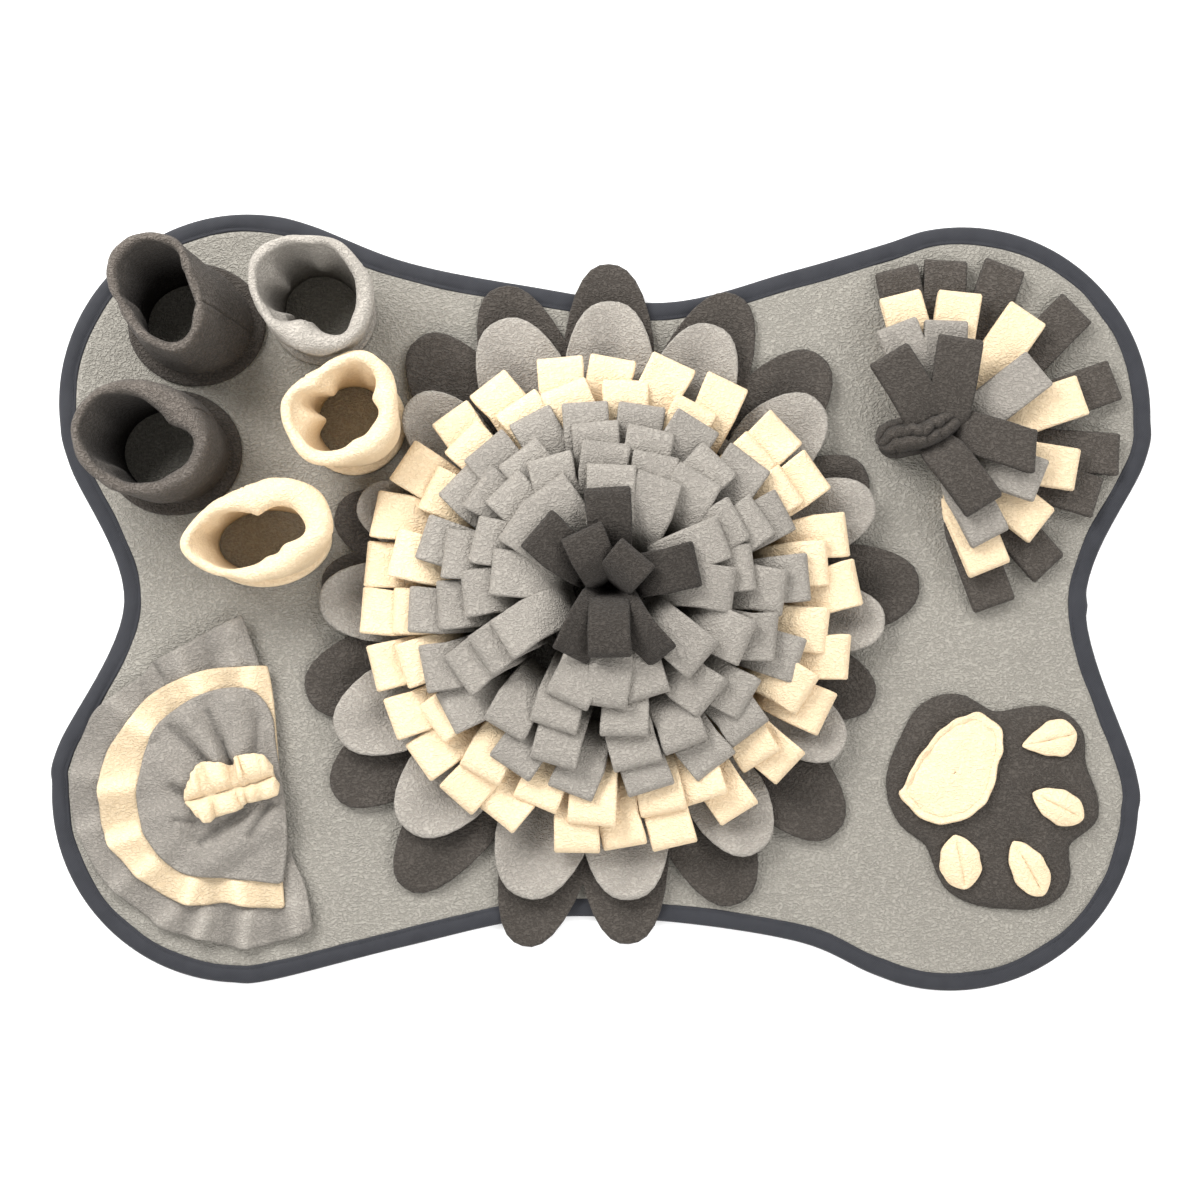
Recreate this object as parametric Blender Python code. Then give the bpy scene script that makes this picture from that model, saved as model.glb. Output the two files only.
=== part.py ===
"""A bone-shaped snuffle mat lying flat: a bound fleece mat that carries a large flower of petals and
folded loops, five standing pockets, a gathered half rosette, a fan of strips and a padded paw.

Lengths are in millimetres until mesh_object scales them to metres. +X is the mat's length, +Y runs
to the top edge as seen from above, +Z is up, and the mat's underside lies on Z = 0. Bearings are
degrees anticlockwise from +X.
"""

import math

import bpy
import numpy as np

MM = 0.001

# Cloth thicknesses and the clearance between neighbouring pieces
MAT_THICKNESS = 4.0
TAPE = 1.0
FLEECE = 2.2
CLEAR = 0.3
FLOOR = MAT_THICKNESS + CLEAR

# Bone outline: four round lobes joined by waists
BINDING_WIDTH = 11.0
LOBE_RADIUS = 120.0
LOBE_STEPS = 9
LONGEST_EDGE = 33.0
LOBES = {  # name: (centre_x, centre_y, start_bearing, end_bearing)
    "top_right": (229.5, 119.0, -15, 115),
    "top_left": (-225.5, 127.2, 70, 200),
    "bottom_left": (-230.0, -122.0, 165, 280),
    "bottom_right": (221.8, -127.2, 245, 370),
}
WAISTS = {  # name: points (x, y) that the edge passes between two lobes, anticlockwise
    "top": ((121, 211), (40, 191), (-50, 202), (-125, 217)),
    "left": ((-304, 0),),
    "bottom": ((-125, -219), (-40, -201), (40, -203), (125, -216)),
    "right": ((308, 0),),
}

# Flower
FLOWER = (5.0, 0.0)
PETAL_LAYERS = {  # layer: band_radius, cleft_radius, underside, rise, cup, half_width_deg
    "petals_dark": (117.5, 128.0, FLOOR, 1.2, 1.2, 8.8),
    "petals_grey": (119.0, 130.0, FLOOR + FLEECE + 0.5, 7.0, 3.0, 9.8),
}
PETAL_TIPS = {  # layer: (bearing, tip_radius) of each petal
    "petals_dark": (
        (3, 196), (27, 182), (49, 205), (68, 210), (90, 214), (109, 211), (126, 206), (146, 156),
        (161, 182), (176, 182), (197, 200), (215, 212), (234, 222), (256, 224), (273, 216),
        (293, 207), (315, 204), (340, 178),
    ),
    "petals_grey": (
        (-4, 173), (22, 178), (44, 182), (69, 186), (90, 189), (111, 190), (134, 178), (157, 170),
        (180, 182), (206, 190), (228, 191), (254, 193), (274, 187), (301, 182), (328, 173),
    ),
}
ROOT_GAP = 2.2
BACKING = 2.0
ROOT_SHARE = 0.9
LIFT = 1.05
RING_X = 5.0
RING_OPENING = 150.0
LOOP_RINGS = {  # ring: centre_y, root_radius, tip_radius or one for each loop, tip_height,
    # tip_half_thickness, width, bearings
    "ring_cream_1": (0, 112, 156, 23, 5.0, 27, (
        3, 18, 32, 45, 61, 77, 91, 103, 117, 131, 145, 157, 170, 183, 196, 210, 221, 233, 244, 261,
        272, 285, 301, 317, 332, 345)),
    "ring_cream_2": (0, 96, 137, 30, 4.6, 28, (
        12, 33, 46, 67, 85, 100, 113, 131, 146, 167, 183, 197, 214, 231, 250, 265, 285, 298, 316,
        336, 352)),
    "ring_grey_1": (1.5, 80, 123, 36.5, 4.4, 28, (
        7, 27, 43, 65, 80, 98, 112, 129, 143, 161, 184, 203, 217, 240, 261, 281, 301, 319, 342)),
    "ring_grey_2": (4, 65, 107, 43, 4.4, 28, (
        4, 26, 53, 75, 95, 121, 138, 163, 183, 205, 229, 250, 278, 299, 321, 343)),
    "ring_grey_3": (7, 50, 91, 49, 4.4, 28, (
        11, 30, 49, 68, 94, 118, 136, 156, 179, 204, 245, 278, 310, 340)),
    "ring_grey_4": (10.5, 35, 74, 55, 4.4, 27, (
        1, 24, 61, 90, 122, 146, 173, 203, 252, 271, 291, 322)),
    "ring_dark": (14, 20, (54, 56, 55), 61, 4.6, 27, (8, 90, 150)),
    "ring_top_dark": (10, 6.5, (27, 38, 49, 43, 54), 67, 4.4, 25, (50, 121, 237, 268, 301)),
}

# Fan of strips
FAN = (212.0, 98.0)
FAN_ROWS = {  # row: root_radius, tip_height, tip_half_thickness, width, (bearing, tip_radius) of each strip
    "fan_dark": (48, 8.4, 3.4, 23, (
        (103, 116), (87, 118), (68, 123), (44, 125), (22, 120), (-1, 116), (-19, 107), (-45, 104),
        (-70, 105))),
    "fan_cream": (37, 18.0, 3.4, 24, (
        (104, 98), (84, 97), (57, 100), (21, 95), (-9, 88), (-35, 82), (-66, 84))),
    "fan_grey": (26.5, 27.0, 3.4, 24, ((111, 80), (89, 77), (41, 77), (-20, 67), (-59, 66))),
    "fan_top": (16, 35.0, 3.4, 24, ((120, 65), (82, 65), (-8, 57), (-58, 48))),
}
GATHER_RADIUS_EAST = 11.0
GATHER_RADIUS_WEST = 24.0
GATHER_HEIGHT = 20.0
GATHER_RIDGES = 6
GATHER_RIDGE_HEIGHT = 3.0
GATHER_TAIL = 208.0
GATHER_COLUMNS = 24
GATHER_PROFILE = (  # share of the edge radius, height above the mat, share of the ridges' height
    (0.9, 0, 0), (1.0, 4, 0), (0.9, 12, 0.4), (0.5, 18, 1.0),
)

# Standing pockets of doubled fleece with a rolled rim
POCKET_SIDES = 16
POCKET_WALL = 5.5
POCKET_ROLL = 2.75
POCKETS = {  # pocket: base x, y, half_x, half_y; rim x, y, half_x, half_y; turn_deg, height, squareness
    "pocket_1": ((-257, 176, 36, 31), (-268, 185, 31, 37), 0, 66, 2.2),
    "pocket_2": ((-177, 184, 29, 28), (-175, 186, 37, 33), -20, 65, 2.2),
    "pocket_3": ((-272, 95, 36, 32), (-275, 96, 45, 36), 0, 65, 2.3),
    "pocket_4": ((-157, 114, 28, 28), (-158, 116, 34, 34), 12, 62, 2.8),
    "pocket_5": ((-212, 39, 36, 24), (-209, 43, 46, 30), 6, 56, 2.2),
}

# Half rosette: three layers gathered on one point, and a ruffle sewn over it
ROSETTE = (-247.0, -101.0)
ROSETTE_COLUMNS = 36
ROSETTE_STEP = FLEECE + 0.5
ROSETTE_WAVE = 5.0
ROSETTE_WAVE_AT = 80.0
ROSETTE_WAVES = 9
ROSETTE_FULLEST = 200.0
ROSETTE_PLEAT_ROOT = 0.45
ROSETTE_OUTLINES = (  # bearing, then the edge radius of rosette_1, rosette_2 and rosette_3
    (0, 43.5, 43.5, 43.5), (18, 45, 45, 44), (36, 52, 49.5, 47), (53, 66, 62, 53),
    (64, 78, 71, 53.5), (77, 93, 61, 48), (95, 86, 57, 43), (120, 74, 55, 40), (145, 77, 58, 40),
    (170, 83, 65, 44), (193, 91, 72, 48), (212, 98.5, 81, 54), (237, 104, 85, 65),
    (256, 111, 88, 72), (278, 119, 93, 78), (298, 122.5, 100.5, 87), (308, 96, 84, 76),
    (318, 72, 68, 65), (344, 46, 45, 44.5),
)
RUFFLE_CENTRE = (-235.0, -114.0)
RUFFLE_LENGTH = 62.0
RUFFLE_HALF_WIDTH = 14.5
RUFFLE_FOLDS = 4
RUFFLE_FOLD_HEIGHT = 9.0
RUFFLE_TILT = 16.0
RUFFLE_SEAT = 1.3
RUFFLE_SWAY = 3.0
RUFFLE_FLARE = 0.1
RUFFLE_COLUMNS = 20

# Padded paw with a cream sole and four slit toes
PAW = (248.0, -126.0)
PAW_COLUMNS = 30
PAW_OUTLINE = (  # bearing, edge_radius
    (-167, 61), (-145, 51), (-115, 64), (-83, 69), (-62, 75), (-48, 72), (-30, 57), (-9, 68),
    (21, 64), (39, 73), (55, 71), (88, 57), (109, 72), (126, 76), (145, 71), (172, 68),
)
PAW_PROFILE = (  # share of the edge radius, height above the mat, from underside to crown
    (0.90, 0.0), (1.0, 3.0), (0.97, 6.5), (0.86, 9.0), (0.5, 10.8),
)
PAW_CROWN = 11.2
SOLE = (-26.0, 19.0)
SOLE_OUTLINE = (  # bearing, edge_radius about SOLE
    (-154, 34), (-130, 35), (-93, 33), (-57, 29), (6, 31), (35, 38), (61, 39), (105, 25), (168, 25),
)
TOES = {  # toe: centre x and y from PAW, half_length, half_width, bearing of its slit
    "paw_toe_1": (37, 38, 17, 10, 12),
    "paw_toe_2": (43, -5, 17, 11, -32),
    "paw_toe_3": (24, -41, 18, 11, -56),
    "paw_toe_4": (-18, -38, 17, 13, -78),
}
TOE_COLUMNS = 12
TOE_PUFF = 2.0
TOE_SLIT = 0.8
PATCH_SEAT = 0.6
SOLE_COLUMNS = 18
SOLE_PROFILE = (  # share of the edge radius, height above its underside
    (0.5, 0.0), (0.88, 0.0), (1.0, 0.0), (1.0, FLEECE + 0.8), (0.88, FLEECE - 0.4), (0.5, FLEECE),
)
TOE_PROFILE = (  # share of the edge, height above its underside
    (0.6, 0.0), (1.0, 0.0), (1.0, FLEECE), (0.6, FLEECE + TOE_PUFF),
)

CLOTHS = {  # cloth: base colour, linear
    "mat_fleece": (0.44, 0.41, 0.37),
    "slate_tape": (0.075, 0.078, 0.095),
    "dark_fleece": (0.09, 0.08, 0.072),
    "grey_fleece": (0.48, 0.45, 0.41),
    "cream_fleece": (0.93, 0.82, 0.58),
}
CLOTH_OF = {"mat_panel": "mat_fleece", "mat_binding": "slate_tape", "petals_dark": "dark_fleece",
            "petals_grey": "grey_fleece", "fan_top": "dark_fleece", "fan_gather": "dark_fleece",
            "pocket_1": "dark_fleece", "pocket_2": "grey_fleece", "pocket_3": "dark_fleece",
            "pocket_4": "cream_fleece", "pocket_5": "cream_fleece", "rosette_1": "grey_fleece",
            "rosette_2": "cream_fleece", "rosette_3": "grey_fleece", "rosette_ruffle": "cream_fleece",
            "paw_pad": "dark_fleece"}


def cloth_name(node):
    """The cloth of a node: its own entry, or the colour word in its name, or cream."""
    for word in ("dark", "grey", "cream"):
        if node not in CLOTH_OF and word in node:
            return word + "_fleece"
    return CLOTH_OF.get(node, "cream_fleece")


def mesh_object(node, points, faces, smooth=False):
    """One closed mesh object of the node's name, scaled to metres, with its own cloth material."""
    mesh = bpy.data.meshes.new(node)
    mesh.from_pydata((np.asarray(points, float) * MM).tolist(), [], [tuple(map(int, f)) for f in faces])
    mesh.validate()
    cloth = cloth_name(node)
    material = bpy.data.materials.new(f"{node}_{cloth}")
    material.use_nodes = True
    shader = material.node_tree.nodes["Principled BSDF"]
    shader.inputs["Base Color"].default_value = (*CLOTHS[cloth], 1)
    shader.inputs["Roughness"].default_value = 0.95
    mesh.materials.append(material)
    if smooth:
        mesh.shade_smooth()
    obj = bpy.data.objects.new(node, mesh)
    bpy.context.scene.collection.objects.link(obj)
    return obj


def polar(radius, bearing_deg, centre=(0.0, 0.0)):
    """Points (x, y) at radius and bearing from centre, as arrays of one shape with a last axis of 2."""
    angle = np.radians(bearing_deg)
    return np.stack([centre[0] + radius * np.cos(angle), centre[1] + radius * np.sin(angle)], -1)


def outline_radius(rows, bearings, column=1):
    """Edge radius at each bearing: a closed smooth curve through the rows of a polar outline table."""
    known = np.array([row[0] for row in rows], float)
    radii = np.array([row[column] for row in rows], float)
    order = np.argsort(known % 360)
    known, radii = known[order] % 360, radii[order]
    starts = np.concatenate([known, known[:1] + 360])
    spot = np.asarray(bearings, float) % 360
    spot = np.where(spot < known[0], spot + 360, spot)
    at = np.clip(np.searchsorted(starts, spot, side="right") - 1, 0, len(known) - 1)
    t = (spot - starts[at]) / (starts[at + 1] - starts[at])
    before, here, there, after = (radii[(at + k) % len(known)] for k in (-1, 0, 1, 2))
    return here + 0.5 * t * (there - before + t * (
        2 * before - 5 * here + 4 * there - after + t * (3 * (here - there) + after - before)))


def strip_quads(first, second, closed):
    """Quads between two rows of point numbers, joined end to end when closed."""
    count = len(first) if closed else len(first) - 1
    return [(first[i], first[(i + 1) % len(first)], second[(i + 1) % len(first)], second[i])
            for i in range(count)]


def ring_body(node, rows, smooth=False):
    """A closed ring swept round: rows of points, each row one line round the ring, in section order."""
    count = len(rows[0])
    faces = []
    for k in range(len(rows)):
        first = np.arange(count) + k * count
        second = np.arange(count) + (k + 1) % len(rows) * count
        faces += strip_quads(first, second, True)
    return mesh_object(node, np.concatenate(rows), faces, smooth)


def stacked_body(node, rows, bottom=None, top=None, smooth=False):
    """A closed body of rows, each one line round it from below to above. Its ends are flat faces, or
    fans about the points bottom and top."""
    count = len(rows[0])
    points = np.concatenate(rows)
    lines = [np.arange(count) + k * count for k in range(len(rows))]
    faces = []
    for first, second in zip(lines, lines[1:]):
        faces += strip_quads(first, second, True)
    for line, tip, turn in ((lines[0], bottom, -1), (lines[-1], top, 1)):
        if tip is None:
            faces.append(tuple(line[::turn]))
            continue
        faces += [(line[i], line[(i + 1) % count], len(points))[::turn] for i in range(count)]
        points = np.concatenate([points, [tip]])
    return mesh_object(node, points, faces, smooth)


def at_height(flat, height):
    """Points (x, y, z) over flat points (x, y)."""
    height = np.broadcast_to(height, flat.shape[:-1])
    return np.concatenate([flat, height[..., None]], -1)


def bone_outline():
    """The mat's edge, anticlockwise: lobe arcs, and smooth curves through the waist points."""
    corners = []
    for lobe, waist in zip(LOBES.values(), WAISTS.values()):
        x, y, start, end = lobe
        corners.append(polar(LOBE_RADIUS, np.linspace(start, end, LOBE_STEPS + 1), (x, y)))
        corners.append(np.array(waist, float))
    corners = np.concatenate(corners)
    points = []
    for i, here in enumerate(corners):
        before, there, after = (corners[(i + k) % len(corners)] for k in (-1, 1, 2))
        pieces = math.ceil(np.linalg.norm(there - here) / LONGEST_EDGE)
        t = (np.arange(pieces) / pieces)[:, None]
        points.append(here + 0.5 * t * (there - before + t * (
            2 * before - 5 * here + 4 * there - after + t * (3 * (here - there) + after - before))))
    return np.concatenate(points)


def inset(outline, distance):
    """The closed outline moved inwards by distance."""
    along = np.roll(outline, -1, 0) - np.roll(outline, 1, 0)
    along /= np.linalg.norm(along, axis=1)[:, None]
    return outline + distance * np.stack([-along[:, 1], along[:, 0]], 1)


def make_mat():
    """The panel, with a thinned rim, and the tape folded over the rim from above and below."""
    outline = bone_outline()
    step = BINDING_WIDTH + CLEAR
    rim = TAPE + CLEAR
    section = ((step, 0), (step, rim), (rim, rim), (rim, MAT_THICKNESS - rim),
               (step, MAT_THICKNESS - rim), (step, MAT_THICKNESS))
    stacked_body("mat_panel", [at_height(inset(outline, d), z) for d, z in section])
    upper = MAT_THICKNESS - TAPE
    section = ((BINDING_WIDTH, 0), (0, 0), (0, MAT_THICKNESS), (BINDING_WIDTH, MAT_THICKNESS),
               (BINDING_WIDTH, upper), (TAPE, upper), (TAPE, TAPE), (BINDING_WIDTH, TAPE))
    ring_body("mat_binding", [at_height(inset(outline, d), z) for d, z in section])


def make_petals(layer):
    """One layer of petals cut from a ring of fleece, each with a round tip, raised at its sides."""
    band, cleft, underside, rise, cup, half_deg = PETAL_LAYERS[layer]
    across = np.array([-1.0, -0.87, -0.42, 0.0, 0.42, 0.87, 1.0])
    tips = np.array(PETAL_TIPS[layer], float)
    bearings = (tips[:, :1] + across * half_deg).ravel()
    reach = (cleft + (tips[:, 1:] - cleft) * np.sqrt(1 - np.abs(across) ** 2.6)).ravel()
    side = np.tile(np.abs(across), len(tips))
    longest = np.repeat(tips[:, 1], len(across))
    rows = []
    for share in (0.0, 0.5, 1.0):
        radius = band + (reach - band) * share
        along = np.clip((radius - cleft) / (longest - cleft), 0, 1)
        height = underside + along * (rise + cup * side ** 2)
        rows.append(at_height(polar(radius, bearings, FLOWER), height))
    up = np.array([0, 0, FLEECE])
    ring_body(layer, rows + [row + up for row in rows[::-1]], smooth=True)


def loop_section(root, reach, height, half):
    """A folded loop's section, as (radius, z): its outer and its inner line, from the outer leg's root
    round the fold to the inner leg's root. The middle line is a curve that leaves the root upwards."""
    base = FLOOR + BACKING
    start = np.array([root, base])
    pull = np.array([root, base + (height - base) * LIFT])
    end = np.array([reach - half, height])
    t = np.array([0.0, 0.4, 1.0])[:, None]
    middle = (1 - t) ** 2 * start + 2 * t * (1 - t) * pull + t * t * end
    along = 2 * (1 - t) * (pull - start) + 2 * t * (end - pull)
    along /= np.linalg.norm(along, axis=1)[:, None]
    normal = np.stack([-along[:, 1], along[:, 0]], 1)
    root_half = ROOT_GAP / 2 + FLEECE
    away = root_half + (half - root_half) * np.sin(t * math.pi / 2)
    outer = np.concatenate([middle - normal * away, [end + along[-1] * half],
                            (middle + normal * away)[::-1]])
    away = away - FLEECE
    inner = np.concatenate([(middle - normal * away)[:-1], [end + along[-1] * (half - FLEECE)],
                            (middle + normal * away)[:-1][::-1]])
    return outer, inner


def loop_widths(bearings, radius, width):
    """Half angles of each loop at a radius: the cut width, or less where its neighbours are near."""
    gaps = np.abs((np.roll(bearings, -1) - bearings + 180) % 360 - 180)
    room = ROOT_SHARE * np.minimum(gaps, np.roll(gaps, 1)) / 2
    return np.minimum(np.degrees(width / 2 / radius), room)


def make_loops(node, centre, root, height, half, width, tips, closed=True):
    """Folded loops side by side on a backing strip, which is a full ring when closed. tips are the
    loops' bearings and tip radii."""
    bearings, reaches = np.array(sorted(tips), float).T
    points, faces = [], []

    def add(radius, bearing, z):
        points.append((*polar(radius, bearing, centre), z))
        return len(points) - 1

    sides = []
    for i, bearing in enumerate(bearings):
        outer, inner = loop_section(root, reaches[i], height, half)
        last_outer, last_inner = len(outer) - 1, len(inner) - 1
        lines = []
        for side in (-1, 1):
            line = []
            for section in (outer, inner):
                for radius, z in section:
                    spread = loop_widths(bearings, radius, width)[i]
                    line.append(add(radius, bearing + side * spread, z))
            foot = [add(radius, bearing + side * loop_widths(bearings, radius, width)[i], FLOOR)
                    for radius in (outer[0][0], outer[-1][0])]
            lines.append((line[:len(outer)], line[len(outer):], foot))
        (out_a, in_a, foot_a), (out_b, in_b, foot_b) = lines
        faces += [(out_a[k], out_b[k], out_b[k + 1], out_a[k + 1]) for k in range(last_outer)]
        faces += [(in_a[k], in_a[k + 1], in_b[k + 1], in_b[k]) for k in range(last_inner)]
        for out, inn, turn in ((out_a, in_a, 1), (out_b, in_b, -1)):
            # The outer line has two points more than the inner one, both at the fold.
            cheeks = [(out[0], out[1], inn[1], inn[0]), (out[1], out[2], inn[1]),
                      (out[2], out[3], inn[2], inn[1]), (out[3], out[4], inn[3], inn[2]),
                      (out[4], out[5], inn[3]), (out[5], out[6], inn[4], inn[3])]
            faces += [cheek[::turn] for cheek in cheeks]
        faces += [(in_a[0], in_b[0], in_b[last_inner], in_a[last_inner]),
                  (foot_a[0], foot_b[0], out_b[0], out_a[0]),
                  (foot_b[1], foot_a[1], out_a[last_outer], out_b[last_outer]),
                  (foot_a[0], foot_a[1], foot_b[1], foot_b[0])]
        sides.append([(line[0][0], line[1][0], line[1][-1], line[0][-1], line[2][1], line[2][0])
                      for line in lines])
    for i in range(len(bearings) if closed else len(bearings) - 1):
        first, second = sides[i][1], sides[(i + 1) % len(bearings)][0]
        faces += [(first[k], second[k], second[(k + 1) % 6], first[(k + 1) % 6]) for k in range(6)]
    if not closed:
        faces += [sides[0][0], sides[-1][1][::-1]]
    return mesh_object(node, points, faces)


def make_pocket(node):
    """A standing tube of doubled cloth, open at the top, with a rolled rim."""
    base, rim, turn, height, square = POCKETS[node]
    profile = (  # distance inwards from the wall's outer face, height
        (0.0, FLOOR), (0.0, height - POCKET_ROLL), (POCKET_WALL / 2, height),
        (POCKET_WALL, height - POCKET_ROLL), (POCKET_WALL, FLOOR),
    )
    bearings = np.arange(POCKET_SIDES) * 360 / POCKET_SIDES
    cos, sin = np.cos(np.radians(bearings)), np.sin(np.radians(bearings))
    flat = (np.abs(cos) ** square + np.abs(sin) ** square) ** (-1 / square)
    rows = []
    for inwards, z in profile:
        share = (z - FLOOR) / (height - FLOOR)
        x, y, half_x, half_y = (np.array(base) * (1 - share) + np.array(rim) * share)
        local = np.stack([(half_x - inwards) * flat * cos, (half_y - inwards) * flat * sin], -1)
        angle = math.radians(turn)
        spun = local @ np.array([[math.cos(angle), math.sin(angle)],
                                 [-math.sin(angle), math.cos(angle)]])
        rows.append(at_height(spun + (x, y), z))
    ring_body(node, rows, smooth=True)


def rosette_wave(radius, bearings):
    """Height of the pleats that run out from the gather, fading over the straight side."""
    full = 0.5 + 0.5 * np.cos(np.radians(bearings - ROSETTE_FULLEST))
    return ROSETTE_WAVE * full * radius / ROSETTE_WAVE_AT * (
        0.5 - 0.5 * np.cos(np.radians(bearings * ROSETTE_WAVES)))


def make_rosette():
    """Three gathered layers over one another, and the ruffle along the seam."""
    bearings = np.arange(ROSETTE_COLUMNS) * 360 / ROSETTE_COLUMNS
    for layer in (1, 2, 3):
        edge = outline_radius(ROSETTE_OUTLINES, bearings, layer)
        underside = FLOOR + (layer - 1) * ROSETTE_STEP
        rows = []
        for share in (ROSETTE_PLEAT_ROOT, 1.0):
            flat = polar(edge * share, bearings, ROSETTE)
            rows.append(at_height(flat, underside + rosette_wave(edge * share, bearings)))
        up = np.array([0, 0, FLEECE])
        stacked_body(f"rosette_{layer}", rows + [row + up for row in rows[::-1]],
                     bottom=(*ROSETTE, underside), top=(*ROSETTE, underside + FLEECE), smooth=True)
    x = np.linspace(-0.5, 0.5, RUFFLE_COLUMNS + 1) * RUFFLE_LENGTH
    phase = np.linspace(0, RUFFLE_FOLDS * 2 * math.pi, RUFFLE_COLUMNS + 1)
    angle = math.radians(RUFFLE_TILT)
    spin = np.array([[math.cos(angle), math.sin(angle)], [-math.sin(angle), math.cos(angle)]])
    lines = []
    for across in (-1.0, 0.0, 1.0):
        local = np.stack([x + RUFFLE_SWAY * abs(across) * np.sin(phase),
                          across * RUFFLE_HALF_WIDTH * (1 + RUFFLE_FLARE * np.sin(phase))], -1)
        flat = local @ spin + RUFFLE_CENTRE
        away = flat - ROSETTE
        wave = rosette_wave(np.hypot(away[:, 0], away[:, 1]),
                            np.degrees(np.arctan2(away[:, 1], away[:, 0])))
        fold = abs(across) * RUFFLE_FOLD_HEIGHT * (0.5 - 0.5 * np.cos(phase))
        lines.append(at_height(flat, FLOOR + 2 * ROSETTE_STEP + FLEECE + RUFFLE_SEAT + wave + fold))
    slab("rosette_ruffle", np.stack(lines), FLEECE)


def slab(node, grid, thickness, smooth=True):
    """A closed sheet: a grid of points for its underside, and the same grid raised by thickness."""
    rows, columns = grid.shape[:2]
    number = np.arange(rows * columns).reshape(rows, columns)
    upper = number + rows * columns
    rim = np.concatenate([number[0], number[1:, -1], number[-1, -2::-1], number[-2:0:-1, 0]])
    faces = []
    for i in range(rows - 1):
        faces += [quad[::-1] for quad in strip_quads(number[i], number[i + 1], False)]
        faces += strip_quads(upper[i], upper[i + 1], False)
    faces += strip_quads(rim, rim + rows * columns, True)
    points = grid.reshape(-1, 3)
    return mesh_object(node, np.concatenate([points, points + (0, 0, thickness)]), faces, smooth)


def make_gather():
    """The drawn-up heart of the fan: a low mound with ridges, longer on the side away from the strips."""
    bearings = np.arange(GATHER_COLUMNS) * 360 / GATHER_COLUMNS
    tail = np.clip((np.cos(np.radians(bearings - GATHER_TAIL)) - 0.4) / 0.6, 0, 1) ** 0.7
    edge = GATHER_RADIUS_EAST + (GATHER_RADIUS_WEST - GATHER_RADIUS_EAST) * tail
    ridge = GATHER_RIDGE_HEIGHT * np.cos(np.radians(bearings * GATHER_RIDGES))
    rows = []
    for share, height, wave in GATHER_PROFILE:
        rows.append(at_height(polar(edge * share, bearings, FAN), FLOOR + height + wave * ridge))
    stacked_body("fan_gather", rows, top=(*FAN, FLOOR + GATHER_HEIGHT), smooth=True)


def paw_height(flat):
    """Height of the pad's upper side at points (x, y) given from PAW."""
    bearings = np.degrees(np.arctan2(flat[..., 1], flat[..., 0]))
    share = np.hypot(flat[..., 0], flat[..., 1]) / outline_radius(PAW_OUTLINE, bearings)
    shares = [0.0] + [row[0] for row in PAW_PROFILE[:0:-1]]
    heights = [PAW_CROWN] + [row[1] for row in PAW_PROFILE[:0:-1]]
    return FLOOR + np.interp(share, shares, heights)


def make_paw():
    """The padded paw, its sole with a raw raised edge, and four toes slit along the middle."""
    bearings = np.arange(PAW_COLUMNS) * 360 / PAW_COLUMNS
    edge = outline_radius(PAW_OUTLINE, bearings)
    rows = [at_height(polar(edge * share, bearings, PAW), FLOOR + height)
            for share, height in PAW_PROFILE]
    stacked_body("paw_pad", rows, top=(*PAW, FLOOR + PAW_CROWN), smooth=True)
    bearings = np.arange(SOLE_COLUMNS) * 360 / SOLE_COLUMNS
    edge = outline_radius(SOLE_OUTLINE, bearings)
    rows = []
    for share, lift in SOLE_PROFILE:
        flat = polar(edge * share, bearings, SOLE)
        rows.append(at_height(flat + PAW, paw_height(flat) + PATCH_SEAT + lift))
    middle = paw_height(np.array(SOLE)) + PATCH_SEAT
    centre = np.array(SOLE) + PAW
    stacked_body("paw_sole", rows, bottom=(*centre, middle), top=(*centre, middle + FLEECE),
                 smooth=True)
    for node, (x, y, half_length, half_width, slit) in TOES.items():
        around = np.arange(TOE_COLUMNS) * 360 / TOE_COLUMNS
        on_slit = np.abs(np.cos(np.radians(around))) > 0.99
        turn = math.radians(slit)
        rows = []
        for share, lift in TOE_PROFILE:
            local = polar(share, around) * (half_length, half_width)
            flat = local @ np.array([[math.cos(turn), math.sin(turn)],
                                     [-math.sin(turn), math.cos(turn)]]) + (x, y)
            raised = np.where(on_slit, min(lift, FLEECE), lift)
            rows.append(at_height(flat + PAW, paw_height(flat) + PATCH_SEAT + raised))
        middle = paw_height(np.array([x, y], float)) + PATCH_SEAT
        centre = np.array([x, y], float) + PAW
        stacked_body(node, rows, bottom=(*centre, middle), top=(*centre, middle + FLEECE - TOE_SLIT),
                     smooth=True)


def main():
    for obj in list(bpy.data.objects):
        bpy.data.objects.remove(obj)
    make_mat()
    for layer in PETAL_LAYERS:
        make_petals(layer)
    for ring, (centre_y, root, reach, height, half, width, bearings) in LOOP_RINGS.items():
        tips = list(zip(bearings, np.broadcast_to(reach, len(bearings))))
        all_round = np.diff([*bearings, bearings[0] + 360]).max() < RING_OPENING
        make_loops(ring, (RING_X, centre_y), root, height, half, width, tips, closed=all_round)
    for pocket in POCKETS:
        make_pocket(pocket)
    make_rosette()
    for row in FAN_ROWS:
        make_loops(row, FAN, *FAN_ROWS[row], closed=False)
    make_gather()
    make_paw()


main()
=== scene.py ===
import math

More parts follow.
